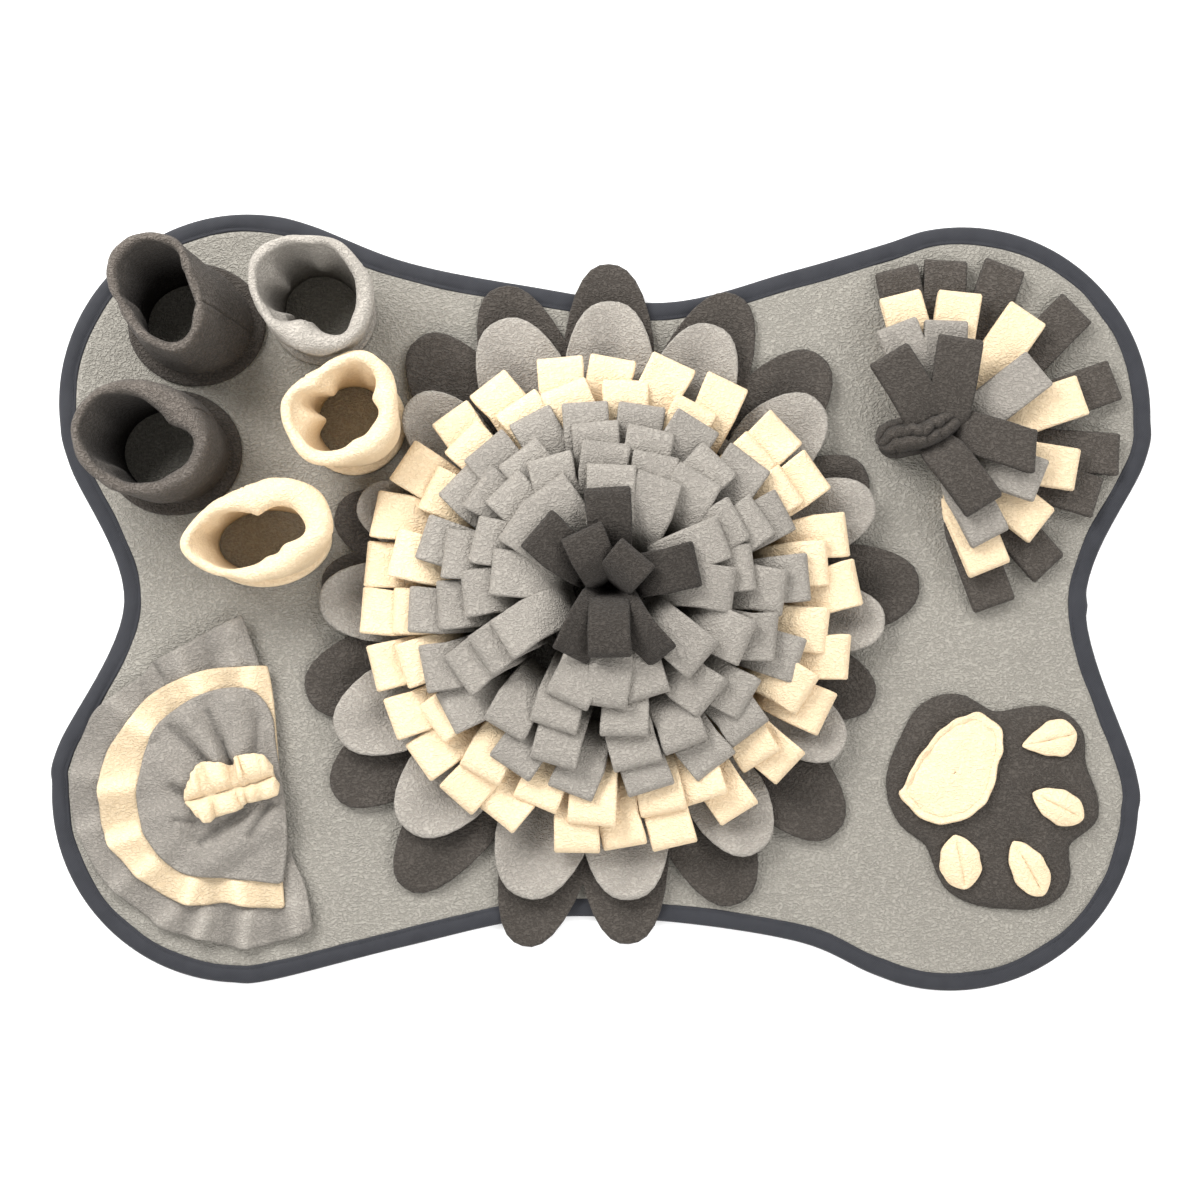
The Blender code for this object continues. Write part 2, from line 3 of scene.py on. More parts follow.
import bpy
import numpy as np
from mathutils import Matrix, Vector


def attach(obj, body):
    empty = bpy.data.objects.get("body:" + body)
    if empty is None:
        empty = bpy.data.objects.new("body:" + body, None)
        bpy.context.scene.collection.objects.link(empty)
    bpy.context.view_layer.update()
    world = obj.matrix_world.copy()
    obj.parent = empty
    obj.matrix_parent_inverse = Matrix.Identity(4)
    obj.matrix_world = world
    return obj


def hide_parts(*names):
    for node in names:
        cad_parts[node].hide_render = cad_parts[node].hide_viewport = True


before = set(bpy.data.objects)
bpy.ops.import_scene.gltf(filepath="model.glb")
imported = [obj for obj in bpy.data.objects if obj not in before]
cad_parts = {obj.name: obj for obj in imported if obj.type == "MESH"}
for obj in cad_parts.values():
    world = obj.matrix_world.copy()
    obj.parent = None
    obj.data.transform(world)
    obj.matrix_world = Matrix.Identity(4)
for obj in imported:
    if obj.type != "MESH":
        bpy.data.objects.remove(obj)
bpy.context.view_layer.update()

# ---------------------------------------------------------------- white sweep, light and camera
# The mat lies face up on a white studio sweep. Six soft boxes stand round it, the strongest at the
# upper left, and the camera looks straight down from a little over a metre.
HALF_VIEW = 0.3828  # half of what the picture takes in at the floor, in metres
CAMERA_HEIGHT = 1.15
SENSOR_WIDTH = 36.0
SOFT_BOX_DISTANCE = 1.7
SOFT_BOX_SIZE = (1.0, 0.7)
SOFT_BOXES = (  # bearing, climb, power
    (20, 40, 9), (70, 40, 11), (132, 36, 38), (200, 38, 8), (270, 38, 7), (320, 40, 10),
)
SWEEP_HALF = 6.0
SWEEP_HEIGHT = -0.0004  # a hair under the mat


def new_object(name, data):
    """An object with this data, linked into the scene."""
    thing = bpy.data.objects.new(name, data)
    bpy.context.scene.collection.objects.link(thing)
    return thing


def new_material(name):
    """A material with nodes: itself, its node tree and its shader."""
    made = bpy.data.materials.new(name)
    made.use_nodes = True
    return made, made.node_tree, made.node_tree.nodes["Principled BSDF"]


def put(node, values):
    """Set inputs of a node, given by name."""
    for name, value in values.items():
        node.inputs[name].default_value = value


lens = bpy.data.cameras.new("straight_down")
lens.sensor_width = SENSOR_WIDTH
lens.lens = SENSOR_WIDTH / 2 * CAMERA_HEIGHT / HALF_VIEW
camera = new_object("straight_down", lens)
camera.location = (-0.001, 0.0016, CAMERA_HEIGHT)
bpy.context.scene.camera = camera
bpy.context.scene.view_settings.view_transform = "Standard"


def soft_box(name, bearing, climb, power):
    """A soft box at SOFT_BOX_DISTANCE times (cos c cos b, cos c sin b, sin c), c being its climb and
    b its bearing, whose face looks at the mat's middle."""
    b, c = math.radians(bearing), math.radians(climb)
    flat = SOFT_BOX_DISTANCE * math.cos(c)
    place = Vector((flat * math.cos(b), flat * math.sin(b), SOFT_BOX_DISTANCE * math.sin(c)))
    lamp = bpy.data.lights.new(name, "AREA")
    lamp.shape = "RECTANGLE"
    lamp.size, lamp.size_y = SOFT_BOX_SIZE
    lamp.energy = power
    box = new_object(name, lamp)
    box.location = place
    box.rotation_mode = "QUATERNION"
    box.rotation_quaternion = (-place).to_track_quat("-Z", "Y")


for number, (bearing, climb, power) in enumerate(SOFT_BOXES, 1):
    soft_box(f"soft_box_{number}", bearing, climb, power)
room = bpy.data.worlds.new("white_room")
room.use_nodes = True
put(room.node_tree.nodes["Background"], {"Color": (1, 1, 1, 1), "Strength": 0.30})
bpy.context.scene.world = room

paper, _, shader = new_material("white_paper")
put(shader, {"Base Color": (0.93, 0.93, 0.93, 1), "Roughness": 0.9,
             "Emission Color": (1, 1, 1, 1), "Emission Strength": 0.2})
sweep_mesh = bpy.data.meshes.new("white_sweep")
side = np.linspace(-SWEEP_HALF, SWEEP_HALF, 5)
grid_x, grid_y = np.meshgrid(side, side, indexing="ij")
corner = (np.arange(4)[:, None] * 5 + np.arange(4)).ravel()
sweep_mesh.from_pydata(
    np.stack([grid_x, grid_y, 0 * grid_x + SWEEP_HEIGHT], -1).reshape(-1, 3).tolist(), [],
    np.stack([corner, corner + 5, corner + 6, corner + 1], -1).tolist())
sweep_mesh.materials.append(paper)
sweep = new_object("white_sweep", sweep_mesh)

# ---------------------------------------------------------------- mat panel
# Bone-shaped panel of light grey anti-pill fleece on a thin non-slip backing, cut on the fold. It is
# the base that every other piece is sewn to, and it puckers a little where they pull at it.
MM = 0.001
MAT_THICKNESS = 4.0
BINDING_WIDTH = 11.0
LOBE_RADIUS = 120.0
LOBE_POINTS = 10
LOBES = (  # centre x and y, first and last bearing of each round corner
    (229.5, 119.0, -15, 115), (-225.5, 127.2, 70, 200),
    (-230.0, -122.0, 165, 280), (221.8, -127.2, 245, 370),
)
WAISTS = (  # points that the edge passes after each corner, anticlockwise
    ((121, 211), (40, 191), (-50, 202), (-125, 217)), ((-304, 0),),
    ((-125, -219), (-40, -201), (40, -203), (125, -216)), ((308, 0),),
)
PANEL_COLUMNS = 560
PANEL_UNDER_ROWS = 8
PANEL_TOP_ROWS = 84
PANEL_PUCKERS = (  # first and last point of a soft ridge in the cloth, its half width and height
    (192, 196, 199, 224, 5, 1.1), (206, 189, 222, 214, 4.5, -0.9), (262, 172, 274, 186, 5, 0.8),
    (318, 120, 302, 98, 5, -0.7), (-196, -84, -186, -140, 6, 1.1), (-180, -70, -172, -150, 7, -0.8),
    (-236, -216, -232, -231, 4, 1.0), (-224, -214, -222, -229, 3.5, -0.8),
    (-300, -206, -306, -214, 5, 0.8), (-150, -60, -146, -160, 11, 0.5), (140, 95, 120, 150, 9, 0.5),
    (150, 60, 150, 100, 8, -0.5), (-300, 12, -270, -8, 7, 0.7), (190, -30, 250, -46, 12, 0.4),
    (-120, 190, -60, 176, 10, 0.5), (-330, -60, -318, -90, 5, 0.8),
    (-348, -110, -332, -112, 5, 0.6), (292, 4, 270, 20, 6, 0.6),
)


def catmull_rom(before, here, there, after, t):
    """Smooth way from p, here, to n, there, at t from 0 to 1: p + t/2 (n - b + t (2b - 5p + 4n - a +
    t (3(p - n) + a - b))), with b before and a after them."""
    return here + 0.5 * t * (there - before + t * (
        2 * before - 5 * here + 4 * there - after + t * (3 * (here - there) + after - before)))


def spline_through(corners, pieces):
    """The closed Catmull-Rom curve through corners, with pieces steps from each to the next."""
    around = (np.roll(corners, -k, 0)[:, None] for k in (-1, 0, 1, 2))
    t = (np.arange(pieces) / pieces)[None, :, None]
    return catmull_rom(*around, t).reshape(-1, corners.shape[-1])


def even_steps(points, count):
    """count points evenly spaced by length along a closed line of points."""
    closed = np.concatenate([points, points[:1]])
    length = np.concatenate([[0], np.cumsum(np.linalg.norm(np.diff(closed, axis=0), axis=1))])
    at = np.arange(count) / count * length[-1]
    return np.stack([np.interp(at, length, closed[:, k]) for k in range(points.shape[1])], -1)


def bone_edge(count):
    """The mat's edge: arcs centre + 120 (cos b, sin b) of the four corners and the waist points,
    joined by one curve and stepped evenly."""
    corners = []
    for (x, y, first, last), waist in zip(LOBES, WAISTS):
        b = np.radians(np.linspace(first, last, LOBE_POINTS))
        corners.append(np.stack([x + LOBE_RADIUS * np.cos(b), y + LOBE_RADIUS * np.sin(b)], -1))
        corners.append(np.array(waist, float))
    return even_steps(spline_through(np.concatenate(corners), 12), count)


def inset(edge, distance):
    """A closed edge moved inwards: p + distance times the left-hand normal of its direction."""
    along = np.roll(edge, -2, 0) - np.roll(edge, 2, 0)
    along /= np.linalg.norm(along, axis=1)[:, None]
    return edge + np.asarray(distance)[..., None] * np.stack([-along[:, 1], along[:, 0]], 1)


def soft_waves(x, y, seed, length, count=5):
    """Uneven waves of height about 1: the mean of count sines of random direction, of about the
    given wave length, and of random phase."""
    dice = np.random.default_rng(seed)
    turn, size, phase = dice.uniform(0, 2 * math.pi, (3, count))
    size = 2 * math.pi / (length * (0.7 + size / 10))
    return sum(np.sin(s * (x * math.cos(t) + y * math.sin(t)) + p)
               for t, s, p in zip(turn, size, phase)) / count ** 0.5


def puckers(x, y, table):
    """Soft ridges and troughs: the sum of height exp(-(d / half)^2), d being the distance from the
    table's segment."""
    total = np.zeros_like(x)
    for x1, y1, x2, y2, half, height in table:
        run = np.array([x2 - x1, y2 - y1], float)
        t = np.clip(((x - x1) * run[0] + (y - y1) * run[1]) / (run @ run), 0, 1)
        gap = np.hypot(x - x1 - t * run[0], y - y1 - t * run[1])
        total += height * np.exp(-(gap / half) ** 2)
    return total


def ring_quads(rows, columns, wraps_rows=False):
    """Quads of a grid whose columns close round, and its rows too with wraps_rows."""
    r = np.arange(rows if wraps_rows else rows - 1)[:, None]
    c = np.arange(columns)[None, :]
    here, on = r * columns + c, r * columns + (c + 1) % columns
    below = (r + 1) % rows * columns
    return np.stack([here, on, below + (c + 1) % columns, below + c], -1).reshape(-1, 4)


def capped(rows, low, high):
    """A closed form from rows of points round it, lowest first. Gives its points, its quads, and as
    tips for add_piece the two rings that are drawn to the points low and high."""
    count, columns = rows.shape[:2]
    ring = np.arange(columns)
    points = np.concatenate([rows.reshape(-1, 3), [low], [high]])
    tips = ((ring[::-1], count * columns), (ring + (count - 1) * columns, count * columns + 1))
    return points, ring_quads(count, columns), tips


def add_piece(name, points, faces, cloth, node, slot_name, tint=1.0, tips=()):
    """One closed mesh from points in millimetres and quads, smooth shaded, with a tint at each point.
    tips holds (ring of point numbers, tip point number) pairs that are closed with triangles."""
    mesh = bpy.data.meshes.new(name)
    faces = faces.tolist()
    for ring, tip in tips:
        faces += np.stack([ring, np.roll(ring, -1), np.full(len(ring), tip)], -1).tolist()
    mesh.from_pydata((np.asarray(points) * MM).tolist(), [], faces)
    mesh.shade_smooth()
    # the tint holds random tone of the pieces, and painted light and shade in creases, hollows and
    # pockets
    shade = mesh.attributes.new("tint", "FLOAT", "POINT")
    shade.data.foreach_set("value", np.broadcast_to(tint, len(points)).astype(float))
    mesh.materials.append(cloth)
    piece = new_object(name, mesh)
    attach(piece, "root")
    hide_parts(node)
    return piece


def nap_group():
    """Brushed nap: height = 0.7 worm + 0.3 fibre, worm being bent noise drawn out sideways and
    stretched from 0.34-0.66 to 0-1; colour = (groove to crest by height) times tint and a mottle of
    plus or minus the Mottle value."""
    group = bpy.data.node_groups.new("brushed nap", "ShaderNodeTree")
    face = group.interface
    for name, kind, value in (
            ("Place", "NodeSocketVector", None), ("Crest", "NodeSocketColor", (1, 1, 1, 1)),
            ("Groove", "NodeSocketColor", (0, 0, 0, 1)), ("Grain", "NodeSocketFloat", 500.0),
            ("Mottle", "NodeSocketFloat", 0.1), ("Tint", "NodeSocketFloat", 1.0)):
        socket = face.new_socket(name, in_out="INPUT", socket_type=kind)
        if value is not None:
            socket.default_value = value
    face.new_socket("Colour", in_out="OUTPUT", socket_type="NodeSocketColor")
    face.new_socket("Height", in_out="OUTPUT", socket_type="NodeSocketFloat")
    node, link = group.nodes.new, group.links.new
    given, out = node("NodeGroupInput"), node("NodeGroupOutput")
    drawn = node("ShaderNodeVectorMath")
    drawn.operation = "MULTIPLY"
    drawn.inputs[1].default_value = (0.7, 1.0, 1.0)
    link(given.outputs["Place"], drawn.inputs[0])

    def noise(scale, detail, distortion):
        texture = node("ShaderNodeTexNoise")
        put(texture, {"Detail": detail, "Distortion": distortion})
        link(drawn.outputs["Vector"], texture.inputs["Vector"])
        if isinstance(scale, float):
            texture.inputs["Scale"].default_value = scale
        else:
            link(scale, texture.inputs["Scale"])
        return texture.outputs["Fac"]

    def sum_of(operation, first, second):
        step = node("ShaderNodeMath")
        step.operation = operation
        for slot_number, value in enumerate((first, second)):
            if isinstance(value, float):
                step.inputs[slot_number].default_value = value
            else:
                link(value, step.inputs[slot_number])
        return step.outputs[0]

    def stretch(value, low, high, bottom=0.0, top=1.0):
        spread = node("ShaderNodeMapRange")
        link(value, spread.inputs["Value"])
        put(spread, {"From Min": low, "From Max": high, "To Min": bottom, "To Max": top})
        return spread.outputs["Result"]

    worm = stretch(noise(given.outputs["Grain"], 0.0, 0.9), 0.34, 0.66)
    fibre = noise(sum_of("MULTIPLY", given.outputs["Grain"], 2.2), 0.0, 0.5)
    height = sum_of("ADD", sum_of("MULTIPLY", worm, 0.7), sum_of("MULTIPLY", fibre, 0.3))
    mottle = stretch(noise(38.0, 3.0, 0.4), 0.3, 0.7, -1.0, 1.0)
    mottle = sum_of("ADD", sum_of("MULTIPLY", mottle, given.outputs["Mottle"]), 1.0)
    shade = sum_of("MULTIPLY", mottle, given.outputs["Tint"])
    mix = node("ShaderNodeMix")
    mix.data_type = "RGBA"
    link(stretch(height, 0.2, 0.8), mix.inputs["Factor"])
    link(given.outputs["Groove"], mix.inputs["A"])
    link(given.outputs["Crest"], mix.inputs["B"])
    scale = node("ShaderNodeVectorMath")
    scale.operation = "SCALE"
    link(mix.outputs["Result"], scale.inputs[0])
    link(shade, scale.inputs["Scale"])
    link(scale.outputs["Vector"], out.inputs["Colour"])
    link(height, out.inputs["Height"])
    return group


nap = nap_group()


def fleece(name, crest, groove, grain, mottle, depth, sheen):
    """Fleece of two close colours: the nap group's colour, its height as a bump of depth metres, and a
    soft sheen from the fibre ends."""
    cloth, tree, shader = new_material(name)
    put(shader, {"Roughness": 0.93, "Specular IOR Level": 0.12, "Sheen Weight": sheen,
                 "Sheen Roughness": 0.55, "Sheen Tint": (*(0.4 + 0.6 * np.array(crest)), 1)})
    place = tree.nodes.new("ShaderNodeTexCoord")
    tint = tree.nodes.new("ShaderNodeAttribute")
    tint.attribute_name = "tint"
    pile = tree.nodes.new("ShaderNodeGroup")
    pile.node_tree = nap
    tree.links.new(place.outputs["Object"], pile.inputs["Place"])
    tree.links.new(tint.outputs["Fac"], pile.inputs["Tint"])
    put(pile, {"Crest": (*crest, 1), "Groove": (*groove, 1), "Grain": grain, "Mottle": mottle})
    bump = tree.nodes.new("ShaderNodeBump")
    put(bump, {"Strength": 0.8, "Distance": depth})
    tree.links.new(pile.outputs["Height"], bump.inputs["Height"])
    tree.links.new(pile.outputs["Colour"], shader.inputs["Base Color"])
    tree.links.new(bump.outputs["Normal"], shader.inputs["Normal"])
    return cloth


mat_fleece = fleece("mat_fleece", (0.342, 0.321, 0.281), (0.264, 0.248, 0.216),
                    780.0, 0.035, 0.0014, 0.10)
edge = bone_edge(PANEL_COLUMNS)
shown = inset(edge, BINDING_WIDTH)


def panel_row(outline, z):
    """One row of the panel: the points of outline at height z."""
    return np.concatenate([outline, np.full((len(outline), 1), z)], 1)


def panel_rows(shares, z):
    """Rows of the panel between its shown rim and its middle: share * rim, at height z."""
    return np.stack([panel_row(shown * share, z) for share in shares])


top = panel_rows(np.linspace(1, 0.012, PANEL_TOP_ROWS), MAT_THICKNESS)
x, y = top[..., 0], top[..., 1]
lift = puckers(x, y, PANEL_PUCKERS)
lift += 0.22 * soft_waves(x, y, 3, 62) + 0.1 * soft_waves(x, y, 4, 21)
from_rim = np.linspace(0, 1, PANEL_TOP_ROWS)[:, None]
top[..., 2] += np.clip(lift, -0.9, 1.1) * np.clip(from_rim * 12, 0, 1) - 0.25
under_tape = np.stack([panel_row(inset(edge, distance), z)
                       for distance, z in ((8.0, 1.5), (8.0, 2.5), (10.6, 2.7))])
rows = np.concatenate([panel_rows(np.linspace(0.03, 1, PANEL_UNDER_ROWS), 0.0), under_tape, top])
rows[PANEL_UNDER_ROWS - 1, :, 2] = 0.3
points, faces, tips = capped(rows, (0, 0, 0), (0, 0, MAT_THICKNESS - 0.2))
panel = add_piece("panel", points, faces, mat_fleece, "mat_panel", "mat_fleece", tips=tips)

# ---------------------------------------------------------------- edge binding
# A slate woven tape folded over the cut edge of the panel from both sides and sewn down with one row
# of matching thread near its inner fold. Its ends meet with a small lap at the right waist.
BINDING_PATH = (  # distance in from the mat's edge and height, round the tape's section
    (11.0, 0.55), (8.0, 0.5), (4.5, 0.5), (2.0, 0.55), (0.95, 0.9), (0.5, 1.6), (0.5, 2.6),
    (0.9, 3.45), (2.0, 4.1), (3.6, 4.45), (5.4, 4.55), (7.2, 4.4), (8.6, 3.95), (9.3, 3.7),
    (10.0, 3.85), (10.7, 3.8), (11.2, 3.5),
)
BINDING_COLUMNS = 700
TAPE = 0.9
TAPE_LAP_Y = -2.0
STITCH_LINE = 9.3
STITCH_LEVEL = 4.2
TAPE_STITCHES = (3.2, 2.3, 0.5)  # pitch, length and width


def cloth_shells(grids, thickness, wraps=False):
    """Closed sheets from grids of middle points, (pieces, rows, columns, 3): faces at middle plus and
    minus thickness / 2 times the unit cross product of the grid's two directions, and a rounded raw
    edge 0.42 thickness outside the border. The columns close round with wraps. Returns the points of
    all pieces and their quads."""
    grids = np.asarray(grids, float)
    count, rows, columns = grids.shape[:3]
    along = np.gradient(grids, axis=1)
    across = np.roll(grids, -1, 2) - np.roll(grids, 1, 2) if wraps else np.gradient(grids, axis=2)
    normal = np.cross(along, across)
    normal /= np.maximum(np.linalg.norm(normal, axis=-1, keepdims=True), 1e-9)
    r, c = np.divmod(np.arange(rows * columns), columns)
    if wraps:
        borders = [np.arange(columns), (rows - 1) * columns + np.arange(columns)[::-1]]
    else:
        borders = [np.concatenate([np.arange(columns), np.arange(1, rows) * columns + columns - 1,
                                   (rows - 1) * columns + np.arange(columns - 1)[::-1],
                                   np.arange(1, rows - 1)[::-1] * columns])]
    border = np.concatenate(borders)
    inner_c = c[border] if wraps else np.clip(c[border], 1, columns - 2)
    inner = np.clip(r[border], 1, rows - 2) * columns + inner_c
    flat = grids.reshape(count, -1, 3)
    away = flat[:, border] - flat[:, inner]
    away /= np.maximum(np.linalg.norm(away, axis=-1, keepdims=True), 1e-9)
    half = normal.reshape(count, -1, 3) * (thickness / 2)
    points = np.concatenate([flat + half, flat - half, flat[:, border] + away * 0.42 * thickness], 1)
    size = rows * columns
    number = np.arange(size).reshape(rows, columns)
    near = number[:, np.arange(columns if wraps else columns - 1)]
    far = np.roll(number, -1, 1)[:, np.arange(columns if wraps else columns - 1)]
    upper = np.stack([near[:-1], near[1:], far[1:], far[:-1]], -1).reshape(-1, 4)
    faces, start = [upper, upper[:, ::-1] + size], 2 * size
    for line in borders:
        rim = start + np.arange(len(line))
        on, rim_on = np.roll(line, -1), np.roll(rim, -1)
        faces.append(np.stack([line, on, rim_on, rim], -1))
        faces.append(np.stack([rim, rim_on, on + size, line + size], -1))
        start += len(line)
    faces = np.concatenate(faces)
    step = points.shape[1] * np.arange(count)[:, None, None]
    return points.reshape(-1, 3), (faces[None] + step).reshape(-1, 4)


def stitches(path, pitch, long, width):
    """Thread showing along a path of points: every pitch a low six-sided grain, long and width wide.
    Its five rings of points lie at shares of long / 2 along the path, and at shares of width / 2
    times cos k across it and sin k upwards."""
    length = np.concatenate([[0], np.cumsum(np.linalg.norm(np.diff(path, axis=0), axis=1))])
    at = np.arange(pitch / 2, length[-1] - pitch / 2, pitch)

    def spot(distance):
        return np.stack([np.interp(distance, length, path[:, k]) for k in range(3)], -1)

    middle = spot(at)
    above = np.broadcast_to((0.0, 0.0, 1.0), middle.shape)
    along = spot(at + 0.5) - spot(at - 0.5)
    along /= np.linalg.norm(along, axis=1)[:, None]
    side = np.cross(above, along)
    side /= np.linalg.norm(side, axis=1)[:, None]
    ends = np.array([-1.0, -0.72, 0.0, 0.72, 1.0])
    girth = np.array([0.25, 0.8, 1.0, 0.8, 0.25])
    turn = np.arange(6) * math.pi / 3
    points = (middle[:, None, None] + along[:, None, None] * (ends * long / 2)[None, :, None, None]
              + side[:, None, None] * (girth[:, None] * np.cos(turn) * width / 2)[None, ..., None]
              + above[:, None, None] * (girth[:, None] * np.sin(turn) * width / 2)[None, ..., None])
    step = np.arange(len(at))[:, None, None] * 30
    body = ring_quads(5, 6)
    caps = np.array([[5, 4, 3, 2], [5, 2, 1, 0], [24, 25, 26, 27], [24, 27, 28, 29]])
    return points.reshape(-1, 3), (np.concatenate([body, caps])[None] + step).reshape(-1, 4)


def joined(*parts):
    """Several (points, quads) pairs as one."""
    start = np.cumsum([0] + [len(points) for points, _ in parts])
    return (np.concatenate([points for points, _ in parts]),
            np.concatenate([faces + offset for (_, faces), offset in zip(parts, start)]))


def woven_tape():
    """Fine twill: height = saw wave of 1.1 mm period along (1, 1) of Object coordinates, bent by noise;
    the colour goes from its groove to its crest by that height and a slow mottle."""
    cloth, tree, shader = new_material("slate_tape")
    node, link = tree.nodes.new, tree.links.new
    put(shader, {"Roughness": 0.72, "Specular IOR Level": 0.3, "Sheen Weight": 0.12})
    place, turn, wave = node("ShaderNodeTexCoord"), node("ShaderNodeMapping"), node("ShaderNodeTexWave")
    link(place.outputs["Object"], turn.inputs["Vector"])
    put(turn, {"Rotation": (0, 0, 0.78)})
    link(turn.outputs["Vector"], wave.inputs["Vector"])
    put(wave, {"Scale": 300.0, "Distortion": 3.0, "Detail Scale": 2.0})
    mottle = node("ShaderNodeTexNoise")
    link(place.outputs["Object"], mottle.inputs["Vector"])
    put(mottle, {"Scale": 120.0, "Detail": 5.0})
    add = node("ShaderNodeMath")
    add.operation = "MULTIPLY_ADD"
    link(wave.outputs["Fac"], add.inputs[0])
    add.inputs[1].default_value = 0.5
    link(mottle.outputs["Fac"], add.inputs[2])
    mix = node("ShaderNodeMix")
    mix.data_type = "RGBA"
    put(mix, {"A": (0.012, 0.013, 0.017, 1), "B": (0.028, 0.029, 0.035, 1)})
    link(add.outputs[0], mix.inputs["Factor"])
    link(mix.outputs["Result"], shader.inputs["Base Color"])
    bump = node("ShaderNodeBump")
    put(bump, {"Strength": 0.5, "Distance": 0.0003})
    link(add.outputs[0], bump.inputs["Height"])
    link(bump.outputs["Normal"], shader.inputs["Normal"])
    return cloth


slate_tape = woven_tape()
rim = bone_edge(BINDING_COLUMNS)
lap = np.exp(-((rim[:, 1] - TAPE_LAP_Y) / 5.0) ** 2) * (rim[:, 0] > 250)
wander = 0.35 * soft_waves(rim[:, 0], rim[:, 1], 9, 40)
bulge = 0.35 * soft_waves(rim[:, 0], rim[:, 1], 10, 26) + 1.3 * lap
tape_rows = []
for deep, high in BINDING_PATH:
    flat = inset(rim, deep + wander * (deep > 7) - lap * max(0.0, 4 - deep) * 0.4)
    z = high + max(0.0, high - 3.2) / 1.3 * bulge
    tape_rows.append(np.concatenate([flat, z[:, None]], 1))
tape = cloth_shells(np.stack(tape_rows)[None, ::-1], TAPE, wraps=True)
seam = np.concatenate([inset(rim, STITCH_LINE + wander), np.full((len(rim), 1), STITCH_LEVEL)], 1)
thread = stitches(seam, *TAPE_STITCHES)
binding = add_piece("edge_binding", *joined(tape, thread), slate_tape, "mat_binding", "slate_tape")

# ---------------------------------------------------------------- petals of the flower
# Two layers of oval petals cut from fleece, dark under grey, each a separate petal caught under the
# flower's stitching. The petals cup a little, and a soft crease runs out from the root of each.
FLEECE = 2.2  # one layer of the cloth that everything on the panel is cut from
FLOWER = (5.0, 0.0)
PETAL_LAYERS = {  # layer: root radius, cleft radius, underside, rise, cup, half width, crease depth
    "petals_dark": (117.5, 131.0, 4.3, 2.2, 3.0, 29.0, 3.0),
    "petals_grey": (119.0, 132.0, 7.0, 7.6, 3.6, 30.5, 4.0),
}
PETAL_TIPS = {  # layer: (bearing, tip radius) of each petal
    "petals_dark": (
        (3, 196), (27, 182), (49, 205), (68, 210), (90, 214), (109, 211), (126, 206), (146, 156),
        (161, 182), (176, 182), (197, 200), (215, 212), (234, 222), (256, 224), (273, 216),
        (293, 207), (315, 204), (340, 178),
    ),
    "petals_grey": (
        (-4, 173), (22, 178), (44, 182), (69, 186), (90, 189), (111, 190), (134, 178), (157, 170),
        (180, 182), (206, 190), (228, 191), (254, 193), (274, 187), (301, 182), (328, 173),
    ),
}
PETAL_ROWS = 22
PETAL_COLUMNS = 17
PETAL_CUTS = {  # layer: its blank and the area of the cloth in it
    "petals_dark": ((1.05, 0.1), 0.0745), "petals_grey": ((0.93, 0.078), 0.0525),
}
BAND_THICKNESS = 1.6


def round_about(centre, bearing, radius, side, z):
    """Points radius out from centre along a bearing and side to the left of it, at height z:
    centre + radius (cos b, sin b) + side (-sin b, cos b)."""
    x = centre[0] + radius * np.cos(bearing) - side * np.sin(bearing)
    y = centre[1] + radius * np.sin(bearing) + side * np.cos(bearing)
    return np.stack([x, y, z], -1)


def petals(layer, seed):
    """Petal grids: a point runs from root + a (reach - root) along the bearing, reach being
    cleft + (tip - cleft) (1 - |u|^2.4)^0.5 at share u across, and u times the half width to the side,
    narrower at the root. Height = underside + s (rise + cup u^2) - crease, s being the share of the
    way from the cleft to the tip. A painted shade falls to about 0.7 in the hollow along the crease and
    fades out towards the tip, so each petal is darker along its middle and near its root."""
    root, cleft, under, rise, cup, half, crease = PETAL_LAYERS[layer]
    tips = np.array(PETAL_TIPS[layer], float)
    dice = np.random.default_rng(seed)
    b = np.radians(tips[:, 0])[:, None, None]
    tip = tips[:, 1][:, None, None]
    a = (np.linspace(0, 1, PETAL_ROWS) ** 0.9)[None, :, None]
    u = np.sin(np.linspace(-math.pi / 2, math.pi / 2, PETAL_COLUMNS) * 0.985)[None, None, :]
    reach = cleft + (tip - cleft) * np.sqrt(1 - np.abs(u) ** 2.4)
    radius = root + (reach - root) * a
    share = np.clip((radius - cleft) / (tip - cleft), 0, 1)
    room = 0.70 + 0.30 * np.sin(np.clip((radius - root) / (0.55 * (tip - root)), 0, 1) * math.pi / 2)
    lean, twist, curl = dice.uniform(-1, 1, (3, len(tips), 1, 1))
    half = half * np.clip((tip - root) / 72, 0.72, 1.06)
    side = u * half * room + lean * 1.5 * share
    height = under + share * (rise + cup * u ** 2) + twist * 0.8 * share * u + 0.5 * curl * share ** 2
    height += 1.2 * share * np.sin(2.6 * u + 3 * curl + 2.2 * a)
    off = u - 0.18 * lean - 0.2 * curl * a
    height -= (crease * np.exp(-(off / 0.30) ** 2) * np.clip(1.3 - 1.1 * share, 0, 1)
               * np.clip(a * 4, 0, 1))
    height = np.maximum(height, under + 0.15 * share)
    # painted shade: darker in the hollow along the crease and towards the root
    hollow = (0.36 + 0.14 * twist) * np.exp(-(off / (0.18 + 0.30 * share)) ** 2)
    shade = 1.05 - hollow * np.clip(1.6 - 1.5 * share, 0, 1) ** 1.3
    return round_about(FLOWER, b, radius, side, height + FLEECE / 2), shade


def shell_tint(shade, wraps=False):
    """The tint of each point of cloth_shells sheets from shade, (pieces, rows, columns): the value at
    its grid point, for both faces and the rim."""
    number = np.arange(shade[0].size).reshape(shade.shape[1:])
    if wraps:
        border = (number[0], number[-1, ::-1])
    else:
        border = (number[0], number[1:, -1], number[-1, -2::-1], number[-2:0:-1, 0])
    spots = np.concatenate([number.ravel(), number.ravel(), *border])
    return shade.reshape(len(shade), -1)[:, spots].ravel()


